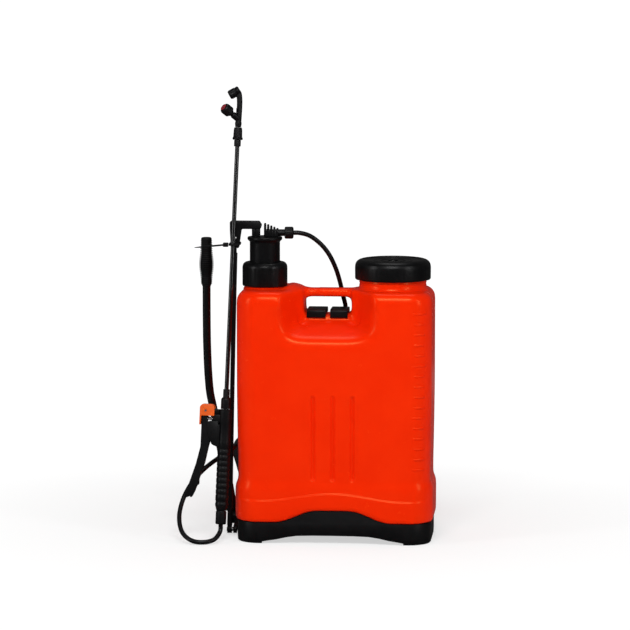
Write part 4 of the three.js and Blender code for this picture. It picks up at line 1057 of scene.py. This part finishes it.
# %% [markdown]
# The hand lever turns on a shaft across the base. Its crank is one moulding: a hub, an arm to the link's
# pin and a socket for the tube. Flat parts are extruded, round ones turned, and all are put together,
# as a pattern maker builds up a part from simple bodies.
# %% Crank
crank_plate = [(45, 40), (PIN_Y + 2, CRANK_Z + 7.7), (PIN_Y - 6.5, CRANK_Z + 4), (PIN_Y - 7.7, CRANK_Z),
               (PIN_Y - 6.5, CRANK_Z - 4), (PIN_Y + 2, CRANK_Z - 7.7), (45, 14)]
plate_bm = plate(softened(crank_plate, 2, 2), -202.9, -196.1, "X", 0.9)
along_x = Matrix.Rotation(math.radians(90), 4, "Y")
hub_line = [(6.3, -212.8), (12.4, -212.8), (13.8, -211.2), (13.8, -197), (12.6, -196.1), (6.3, -196.1)]
hub_bm = turned(softened(hub_line, 0.8), 56, closed=True, place=Matrix.Translation((0, SHAFT_Y, SHAFT_Z)) @ along_x)
pin_boss = turned(softened(rectangle(4.3, 7.7, -202.9, -196.1), 0.5), 40, closed=True,
                  place=Matrix.Translation((0, PIN_Y, CRANK_Z)) @ along_x)
lean_way = Vector((-0.1774, 0, 1)).normalized()
socket_foot = Vector((-214.9, 45, 60))
socket_line = [(8.2, -21), (11.2, -20), (11.8, -18), (11.8, 40), (11.2, 42.4), (10.2, 43.2), (8.2, 43.2)]
socket_bm = turned(softened(socket_line, 0.6), 48, closed=True, place=pointing(socket_foot, lean_way))
gusset = box(-207.6, -204.6, 40, 50, 38, 62, 0.8)
crank = solid("lever_crank", merged(plate_bm, hub_bm, pin_boss, socket_bm, gusset), black, "lever", "black_plastic",
              "crank", sharp=40)
print("crank", len(crank.data.polygons))

# %% [markdown]
# The lever's tube is bent once above the crank and then runs up beside the tank. Its rubber grip is turned:
# a slim sleeve with a fuller middle and thin rings that stand out of it, so that a wet hand holds.
# %% Tube and grip
lever_points = [(-214.9 - 0.1774 * (z - 60), 45, z) for z in (60, 150, 240)]
lever_points += [(-253.5, 45, 272), (-257, 45, 310), (-259.4, 45, 370)]
lever_points += [(-260, 45, z) for z in (430, 486, 576)]
lever_path = smooth_path(lever_points, 150)
lever = solid("lever_bent_tube", swept(lever_path, lambda i: circle(7.95, 28)), enamel, "lever", "lever_paint",
              "lever_tube")

grip_line = [(8.1, 486.2), (9.2, 486.4), (9.4, 489)]
for k in range(23):
    z = 491 + 3.8 * k
    belly = 10.2 + 3.6 * math.exp(-((z - 528) / 24) ** 2) + 0.4 * smoothstep(500, 575, z)
    cut_in = 0.5 + 1.5 * smoothstep(496, 508, z) * (1 - smoothstep(552, 562, z))
    groove, ring = belly - cut_in, belly + 0.7
    grip_line += [(groove, z - 0.9), (ring, z - 0.5), (ring, z + 0.5), (groove, z + 0.9)]
grip_line = [(r, z) for r, z in grip_line if z < 577]
grip_line += [(10.6, 577.4), (10.3, 579.6), (9.0, 581.4), (6.5, 581.9), (0, 581.9)]
grip = solid("lever_hand_grip", turned(grip_line, 56, place=Matrix.Translation((-260, 45, 0))), rubber, "lever",
             "black_rubber", "lever_grip", sharp=50)
print("tube and grip", len(lever.data.polygons), len(grip.data.polygons))

# %% [markdown]
# The hand piece is drawn with Z up the lance. Its tail nut clamps the hose, and the barrel holds the valve.
# The barrel is turned, with grooves for the fingers; two cheeks stand beside the trigger's top.
# %% Valve barrel
tail_line = softened([(4.6, 0.2), (8.8, 0.2), (10.4, 1.8), (10.4, 24.8), (9.2, 26.8), (4.6, 26.8)], 0.6)
solid("hose_screw_nut", fluted(tail_line, 84, 2.5, 24, 9.9, 14, 0.5), black, "tank_unit", "black_plastic",
      "hose_tail_nut", place=HAND)

body_line = [(0, 27.3), (9.6, 27.3), (10.2, 29), (12.5, 37.5), (12.5, 41), (11.9, 42), (11.9, 46), (12.6, 47.2)]
for k in range(9):
    z = 56 + 11 * k
    body_line += [(12.6, z), (12.0, z + 1.2), (12.0, z + 3.2), (12.6, z + 4.4)]
body_line += [(12.6, 160), (12.0, 166), (12.0, 196), (12.7, 199), (12.7, 222.4), (11.6, 223.7), (0, 223.7)]
valve_bm = turned(body_line, 56)
boss = box(-21.8, -4, -7.9, 7.9, 197.1, 212.9, 1.4, 3)
boss = cut(boss, turned([(0, -25), (4.8, -25), (4.8, 9), (0, 9)], 24, place=pointing((-10, 0, 205), (1, 0, 0))))
tongue_line = [(-44, 217), (-40, 214.5), (-6, 213), (-6, 223.4), (-24, 223.8), (-39, 225.2), (-44, 223)]
tongue = plate(softened(tongue_line, 1.5, 2), -4.3, 4.3, "Y", 0.7)
pin_hole = circle(2.2, 20, -38, 220)
tongue = cut(tongue, plate(pin_hole, -9, 9, "Y"))
guard_line = softened([(-12, 150), (-24, 155), (-30, 172), (-33, 190), (-33, 200), (-12, 200)], 3, 3)
guards = [plate(guard_line, y - 1.1, y + 1.1, "Y", 0.6) for y in (-10.2, 10.2)]
root_line = softened([(-13, 152), (-11, 150), (-9, 154), (-9, 194), (-13, 194)], 1, 2)
guards.append(plate(root_line, -11.2, 11.2, "Y", 0.6))
valve = solid("valve_barrel", merged(valve_bm, boss, tongue, *guards), black, "tank_unit", "black_plastic",
              "valve_body", place=HAND)
print("valve", len(valve.data.polygons))

# %% [markdown]
# The trigger hangs from a pin and is squeezed towards the barrel. An orange catch turns on the same pin
# and locks it. Both are extruded outlines; the catch is hollow, so a smaller block is cut out of it.
# %% Trigger and catch
trigger_line = [(-45.4, 219), (-45.4, 150), (-52.8, 116), (-63.8, 80), (-73.3, 51), (-71.5, 48.9), (-66, 50.2),
                (-62, 52.6), (-59.5, 49.6), (-57.2, 53.4), (-53.2, 62), (-49.6, 73), (-45.6, 76), (-45.9, 86),
                (-36.2, 118), (-30.2, 150), (-24.2, 176), (-24.2, 190), (-34.4, 198.7), (-34.4, 219),
                (-37, 226.6), (-42, 226.4)]
trigger_bm = plate(softened(trigger_line, 2.4, 3), -8.4, 8.4, "Y", 1.6, 3)
slot = box(-80, 0, -4.75, 4.75, 210.7, 240)
trigger_bm = cut(trigger_bm, slot, plate(pin_hole, -20, 20, "Y"))
trigger = solid("trigger_lever", trigger_bm, black, "trigger", "black_plastic", "trigger", place=HAND, sharp=42)

left, right, low, top = -49.4, -20.7, 210.2, 232.9
cheek = softened([(left, low - 17.8), (left + 2.6, low - 17.8), (left + 3.2, low), (right, low), (right, top - 4),
                  (right - 5, top), (left + 5, top), (left, top - 5)], 1.6, 3)
shell_bm = plate(cheek, -11.9, 11.9, "Y", 1.2, 3)
shell_bm = cut(shell_bm, box(left + 3.1, right + 4, -8.9, 8.9, low - 30, 229.4),
               plate(pin_hole, -20, 20, "Y"))
ridges = [box(left + 6 + 4 * k, left + 8 + 4 * k, -9, 9, 231.6, 232.9, 0.5, 1) for k in range(5)]
catch_piece = solid("trigger_catch", merged(shell_bm, *ridges), catch, "trigger_latch", "orange_plastic",
                    "trigger_latch", place=HAND)
print("trigger and catch", len(trigger.data.polygons), len(catch_piece.data.polygons))

# %% [markdown]
# A bright spring pushes the stem back out of the valve. A screw modifier could wind it, but a wire swept
# along a helix of six turns ends exactly where its seats are.
# %% Spring
coil_points = []
for k in range(145):
    a = 2 * math.pi * k / 24
    coil_points.append(Vector((-32.4 + 21.2 * k / 144, 3.85 * math.cos(a), 205 + 3.85 * math.sin(a))))
spring = solid("valve_coil_spring", swept(coil_points, lambda i: circle(0.6, 8)), steel, "valve_stem", "steel",
               "valve_spring", place=HAND, sharp=60)
print("spring", len(spring.data.polygons))

# %% [markdown]
# The lance is a thin enamelled tube. A collar screws it to the valve, and a ring and a clamp nut with a
# flared skirt hold the nozzle head at its top. All four are round, so all are turned from a profile.
# %% Lance
collar_line = [(4.6, 224.4), (9.8, 224.4), (9.8, 242.6), (8.6, 245.6), (6.4, 247.2), (6.4, 262.8), (4.6, 262.8)]
collar_bm = fluted(softened(collar_line, 0.9), 84, 226, 241, 9.3, 12, 0.55)
solid("lance_screw_collar", collar_bm, black, "tank_unit", "black_plastic", "lance_collar", place=HAND)
tube_low, tube_high = 245.2, 769.8
tube_bm = turned(rectangle(3.4, 4.25, tube_low, tube_high), 28, closed=True)
solid("lance_thin_tube", tube_bm, gloss_enamel, "tank_unit", "lance_paint", "lance_tube", place=HAND)
collet_line = softened([(4.6, 734.8), (6.0, 734.8), (6.6, 735.8), (6.6, 747.0), (4.6, 747.0)], 0.4)
solid("lance_clamp_ring", turned(collet_line, 32, closed=True), black, "tank_unit", "black_plastic",
      "nozzle_collet", place=HAND)
clamp_line = [(4.6, 747.5), (8.6, 747.5), (10.0, 748.7), (10.0, 751.0), (8.8, 753.2), (8.3, 766), (7.9, 769.8),
              (7.0, 771.7), (4.6, 771.7)]
clamp_bm = fluted(softened(clamp_line, 0.7), 84, 753, 768, 7.8, 12, 0.7)
solid("lance_screw_nut", clamp_bm, black, "tank_unit", "black_plastic", "nozzle_nut", place=HAND)
print("lance", round(tube_high - tube_low, 1), "mm")

# %% [markdown]
# The double nozzle forks into a neck with a turned-down tip and a short side branch. The neck is swept,
# as it bends and thins; the stubs are turned and placed on the axes that the tip nuts turn on.
# %% Nozzle head
upper_way = Vector((-0.857, 0, -0.515)).normalized()
side_way = Vector((-0.72, -0.45, 0.53)).normalized()
upper_root, side_root = Vector((0, 0, 845)), Vector((0, 0, 788))
foot_line = [(0, 772.3), (5.9, 772.3), (6.1, 776), (6.5, 777.5), (6.5, 781), (5.8, 783), (0, 783)]
foot_bm = turned(softened(foot_line, 0.8, 3, closed=False), 40)
neck_line = [(0, 782), (0.7, 797), (1.0, 812), (0.3, 828), (-2.0, 838), (-6.0, 842.5)]
neck_path = smooth_path([(x, 0, z) for x, z in neck_line], 40)
neck_bm = swept(neck_path, lambda i: circle(5.9 - 0.5 * math.sin(math.pi * i / 40), 28))
stem_bm = merged(foot_bm, neck_bm)
upper_stub = turned(softened([(0, 1.5), (5.4, 1.5), (5.4, 17.2), (0, 17.2)], 0.5, closed=False), 32,
                    place=pointing(upper_root, upper_way))
knuckle = turned(softened([(0, 0.6), (7.2, 0.6), (8.6, 2.0), (8.6, 6.8), (0, 6.8)], 0.6, closed=False), 40,
                 place=pointing(upper_root, upper_way))
branch = [(0, 0), (6.6, 0), (6.4, 14), (4.9, 16), (4.9, 18), (6.6, 19), (6.6, 21.2), (4.9, 21.4), (4.9, 32.6),
          (0, 32.6)]
side_stub = turned(softened(branch, 0.5, closed=False), 32, place=pointing(side_root, side_way))
rib = plate(softened([(-5.2, 797), (-1, 793), (-1, 812), (-5.2, 809)], 1, 2), -1.4, 1.4, "Y", 0.4)
nozzle_head = solid("double_nozzle_head", merged(stem_bm, upper_stub, knuckle, side_stub, rib), black, "tank_unit",
                    "black_plastic", "nozzle_head", place=HAND)
print("nozzle head", len(nozzle_head.data.polygons))

# %% [markdown]
# The tip nuts are the same moulding in two sizes: fluted outside, with a bore that narrows to the jet.
# So one function makes both, each on its own body. A red disc in the side nut marks its spray.
# %% Tip nuts
def tip_nut(name, root, way, start, radius, length, body, node):
    bore = 5.7
    line = softened([(bore, start + 0.2), (radius - 1.4, start + 0.2), (radius - 0.1, start + 1.8),
                     (radius - 0.1, start + length - 3.5), (radius - 1.6, start + length - 0.4),
                     (1.6, start + length - 0.4), (1.2, start + length - 2), (bore, start + length - 5.6)], 0.7)
    bm = fluted(line, 96, start + 2, start + length - 4, radius - 0.8, 16, 0.45)
    return solid(name, bm, black, body, "black_plastic", node, place=HAND @ pointing(root, way))


upper_nut = tip_nut("upper_tip_nut", upper_root, upper_way, 7.0, 9.3, 16.6, "upper_nozzle_cap", "nozzle_cap_upper")
side_nut = tip_nut("side_tip_nut", side_root, side_way, 21.6, 10.8, 17.4, "side_nozzle_cap", "nozzle_cap_side")
disc_line = [(0.8, 38.8), (6.4, 38.8), (6.6, 39.4), (6.6, 40.7), (6.0, 41.1), (2.2, 41.1), (0.8, 40.3)]
disc_bm = turned(softened(disc_line, 0.2), 36, closed=True, place=pointing(side_root, side_way))
solid("side_tip_disc", disc_bm, spray_disc, "side_nozzle_cap", "red_plastic", "nozzle_disc", place=HAND)
print("tip nuts", len(upper_nut.data.polygons), len(side_nut.data.polygons))

# %% [markdown]
# A nylon tie holds the stored lance beside the arm's leg; its tapering tail points away from the tank.
# The band is a flat section skinned round a closed path, with a square lock and a tail of its own.
# %% Lance tie
TIE_Z = 575.0
tie_left, tie_right, tie_front, tie_back = -206.9, -188.2, -30.4, 10.6
loop_path = []
for x, y in softened(rectangle(tie_left, tie_right, tie_front, tie_back), 5, 5):
    loop_path.append(Vector((x - 0.5 * (1 if x < -197 else -1), y - 0.5 * (1 if y < -10 else -1), TIE_Z)))
band = softened(rectangle(-0.65, 0.65, -2.2, 2.2), 0.35, 2)
rings = []
for i, p in enumerate(loop_path):
    way = (loop_path[(i + 1) % len(loop_path)] - loop_path[i - 1]).normalized()
    out_way = way.cross(Vector((0, 0, 1))).normalized()
    rings.append([p + out_way * a + Vector((0, 0, b)) for a, b in band])
loop_bm = skinned(rings, round_path=True)
lock = box(-218.6, -208.4, -33.4, -25.4, 570.8, 579.0, 1.2)
tail_section = softened(rectangle(-0.6, 0.6, -1.75, 1.75), 0.3, 2)
tail_rings = []
for k in range(21):
    t = k / 20
    taper = 1 - 0.55 * smoothstep(0.72, 1.0, t)
    centre = Vector((-214 - 60 * t, -31.0 - 1.0 * t, TIE_Z - 6.0 * t))
    tail_rings.append([centre + Vector((0, a, b * taper)) for a, b in tail_section])
tie_bm = merged(loop_bm, lock, skinned(tail_rings))
tie = solid("lance_band_tie", tie_bm, black, "tank_unit", "black_plastic", "lance_tie")
print("tie faces", len(tie.data.polygons))

# %% [markdown]
# Each shoulder strap hangs from a hook over the handle's sill: a webbing lead, a padded cushion,
# a ladder buckle, and the lower webbing down to the base's lug. Webbing is a thin flat band that
# keeps its width along X and bends only across it, as a real strap does.
# %% Webbing
def width_and_outside(way):
    """For a way along a strap, the direction of its width and the one that it faces."""
    across = Vector((1, 0, 0))
    side = (across - way * across.dot(way)).normalized()
    return side, way.cross(side)


def lay_flat(bm, shares, gone):
    """Flat coordinates in metres for the weave: the place across the strap, and the place along it."""
    flat = bm.loops.layers.uv.new("flat")
    for face in bm.faces:
        for loop in face.loops:
            i, k = divmod(loop.vert.index, len(shares))
            loop[flat].uv = (shares[k] * MM, gone[i] * MM)
    return bm


def band_along(path, half_width, thick=2.1):
    section = softened(rectangle(-half_width, half_width, -thick / 2, thick / 2), 0.5, 2)
    rings = []
    for i, p in enumerate(path):
        side, out_way = width_and_outside(heading(path, i))
        rings.append([p + side * a + out_way * b for a, b in section])
    return lay_flat(skinned(rings), [a for a, _ in section], distances(path))


print("a section of webbing has", len(softened(rectangle(0, 38, 0, 2), 0.5, 2)), "corners")

# %% [markdown]
# The cushion is foam in cloth: full in the middle, pinched at its edges, with two stitched channels.
# A subdivided box would be evenly round, so the fullness is drawn as a function of the place across.
# %% Cushion
def pillow(path, half_width, thick):
    """A stuffed band: full in the middle, pinched at its edges and ends, with two stitched channels."""
    gone, rings, columns = distances(path), [], 28
    places = [-1 + 2 * k / columns for k in range(columns)]
    for i, p in enumerate(path):
        side, out_way = width_and_outside(heading(path, i))
        end = min(gone[i], gone[-1] - gone[i])
        fill = 0.16 + 0.84 * smoothstep(0, 16, end) ** 0.6
        width = half_width * (0.62 + 0.38 * smoothstep(0, 22, end) ** 0.7)
        ring = []
        for face in (1, -1):
            for u in (face * place for place in places):
                puff = (1 - abs(u) ** 3.2) * 0.5 * thick * fill
                puff *= 1 - 0.42 * math.exp(-((abs(u) - 0.42) / 0.05) ** 2)
                puff *= 1 + 0.05 * math.sin(gone[i] * 0.21 + 2.1 * u) * math.sin(4.0 * u + 1.3)
                ring.append(p + side * u * width + out_way * face * max(0.7, puff))
        rings.append(ring)
    shares = [u * half_width for u in places + [-place for place in places]]
    return lay_flat(skinned(rings), shares, gone)


trial = pillow([Vector((0, 0, z)) for z in range(0, 100, 10)], 30, 12)
print("a trial cushion has", len(trial.faces), "faces")
trial.free()

# %% [markdown]
# A real cushion's cloth is never quite even. A short cloth simulation with air inside settles the skin,
# and each point is then held to a small step, so that the cushion stays on its strap.
# %% Cushion's air
AIR_FRAMES = 14


def blown_up(drawn):
    """Where the points of the drawn object's skin go when it is cloth with air in it."""
    cushion = drawn.copy()
    cushion.data = drawn.data.copy()
    scene.collection.objects.link(cushion)
    cloth = cushion.modifiers.new("cloth", "CLOTH")
    cloth.settings.quality = 4
    cloth.settings.use_pressure = True
    cloth.settings.uniform_pressure_force = 4.0
    cloth.settings.effector_weights.gravity = 0.0
    cloth.settings.tension_stiffness = 40
    cloth.settings.compression_stiffness = 40
    cloth.settings.bending_stiffness = 2
    cloth.point_cache.frame_start, cloth.point_cache.frame_end = 1, AIR_FRAMES
    for frame_number in range(1, AIR_FRAMES + 1):
        scene.frame_set(frame_number)
    shown = cushion.evaluated_get(bpy.context.evaluated_depsgraph_get())
    mesh = shown.to_mesh()
    after = [v.co.copy() for v in mesh.vertices]
    shown.to_mesh_clear()
    scene.frame_set(1)
    removed(cushion)
    return after


print("the air works for", AIR_FRAMES, "frames")

# %% [markdown]
# Each point then follows the cloth by a small step only, so that the cushion keeps its place and size.
# %% Settled cushion
MOST_STEP = 1.6 * MM


def puffed(bm, name):
    rest = temporary(bm)
    most = 0.0
    for vert, new in zip(rest.data.vertices, blown_up(rest)):
        step = new - vert.co
        if step.length > MOST_STEP:
            step = step.normalized() * MOST_STEP
        most = max(most, step.length)
        vert.co += step
    print(name, "settled by up to", round(most / MM, 2), "mm")
    bm = bmesh.new()
    bm.from_mesh(rest.data)
    removed(rest)
    return bm


print("the air may move a point", MOST_STEP / MM, "mm")

# %% [markdown]
# The hook is a strip of black moulding bent over the sill of the handle's gap. All its bends are in its
# side view, so that view is drawn as an outline and stretched across, with a small lip on top.
# %% Hooks
def sill_hook(word, middle, wide):
    x0, x1 = middle - wide + 1, middle + wide + 1
    hook_line = [(28, 440.4), (28, 446), (22, 450.6), (-26, 450.9), (-32.9, 448), (-33.1, 434.2), (-29, 434.2),
                 (-28.4, 440.4)]
    hook_bm = plate(softened(hook_line, 1.6, 3), x0, x1, "X", 0.9, 2)
    lip = box(x0 + 2, x1 - 2, 18, 20, 448, 450.4, 0.5, 1)
    solid("sill_hook_" + word, merged(hook_bm, lip), black, "tank_unit", "black_plastic", "strap_hook_" + word)
    print(word, "hook", x1 - x0, "mm wide")

# %% [markdown]
# The cushion's shape is puffed where it lies, in metres, because a cloth simulation knows real sizes only.
# %% Shoulder cushions
PAD_HALF, PAD_THICK = 30.6, 12.6
print("cushions", 2 * PAD_HALF, "by", PAD_THICK, "mm")


def shoulder_cushion(word, path):
    pad_bm = pillow(path, PAD_HALF, PAD_THICK)
    bmesh.ops.transform(pad_bm, matrix=LOCAL, verts=pad_bm.verts)
    pad_bm = puffed(pad_bm, "pad_" + word)
    pad = solid("shoulder_cushion_" + word, pad_bm, pad_cloth, "tank_unit", "pad_fabric", "shoulder_pad_" + word,
                place=Matrix.Identity(4), sharp=80)

# %% [markdown]
# Two rows of thread hold the cushion's cloth to its foam. Each stitch is a tiny tube that rises out of the
# cloth and goes back in: it catches the light, where a painted line would stay flat.
# %% Stitching
def stitching(word, path):
    stitches = []
    for u in (-0.78, 0.78):
        for k in range(6, 84, 2):
            way = (path[k + 1] - path[k]).normalized()
            side, out_way = width_and_outside(way)
            start = path[k] + side * u * PAD_HALF + out_way * 6.3 * (1 - abs(u) ** 3.2)
            stitch = [start + way * along + out_way * rise for along, rise in ((0, 0.15), (1.1, 0.75), (2.2, 0.15))]
            stitches.append(swept(smooth_path(stitch, 4), lambda i: circle(0.3, 6)))
    print(word, "cushion has", len(stitches), "stitches")
    solid("cushion_stitching_" + word, merged(*stitches), webbing, "tank_unit", "webbing", sharp=80)

# %% [markdown]
# A ladder buckle lets the wearer pull the webbing shorter. It is a flat moulding with two windows and a
# bar between them, so an outline is stretched and the windows are cut through it.
# %% Ladder buckles
def ladder_buckle(word, x, y, z):
    outline = softened(rectangle(x - 23.6, x + 23.6, z - 21.8, z - 9.7), 3, 4)
    window = softened(rectangle(x - 19.6, x + 19.6, z - 19, z - 16.8), 0.8, 2)
    window_top = [(a, b + 4.4) for a, b in window]
    buckle_bm = cut(plate(outline, y - 5.2, y + 1.7, "Y", 1.4, 3), plate(window, y - 9, y + 9, "Y"),
                    plate(window_top, y - 9, y + 9, "Y"))
    solid("ladder_buckle_" + word, buckle_bm, satin, "tank_unit", "black_plastic", "strap_buckle_" + word)
    print(word, "buckle", 2 * 23.6, "mm wide")

# %% [markdown]
# One loop hangs both straps: hook, lead over the tank's shoulder, cushion, buckle, and webbing down to
# the base's lug. The left one bends out past the tank's side, and the right one stays behind it.
# %% Both straps
WEB_HALF, LEAD_HALF, BACK = 18.9, 16, 96.0
for hand, word, hook_x, wide, pad_end, spread in ((-1, "left", -38, 18.5, 162, 199), (1, "right", 6, 17, 140, 157)):
    sill_hook(word, hook_x, wide)
    lead_path = smooth_path([
        (hook_x, 29.5, 444), (hook_x + 2 * hand, 60, 427), (hook_x + 10 * hand, 97, 407),
        (68 * hand, 128, 375), (80 * hand, 137, 358),
    ], 60)
    pad_path = smooth_path([
        (68 * hand, 128, 375), (95 * hand, 150, 330), (hand * (pad_end - 18), 155, 270), (hand * pad_end, 146, 215),
    ], 90)
    shoulder_cushion(word, pad_path)
    stitching(word, pad_path)
    solid("lead_webbing_" + word, band_along(lead_path, LEAD_HALF), webbing, "tank_unit", "webbing", sharp=50)
    x, y, z = hand * pad_end, 146, 215
    ladder_buckle(word, x, y, z)
    tail_path = smooth_path([pad_path[-9], pad_path[-1], (x, y - 0.6, z - 6), (x, y - 2, z - 14.5)], 16)
    solid("buckle_webbing_" + word, band_along(tail_path, WEB_HALF), webbing, "tank_unit", "webbing", sharp=50)
    web_path = smooth_path([
        (x, y - 2, z - 17.4), (x, y - 4, z - 36), (hand * spread, BACK + 37, 153),
        (hand * (spread - 7), BACK + 26, 120), (hand * 171, BACK + 12, 60), (hand * 165, 104.4, 22),
    ], 90)
    solid("lower_webbing_" + word, band_along(web_path, WEB_HALF), webbing, "tank_unit", "webbing",
          "strap_webbing_" + word, sharp=50)
    print(word, "strap, mm:", [round(distances(path)[-1]) for path in (lead_path, pad_path, web_path)])
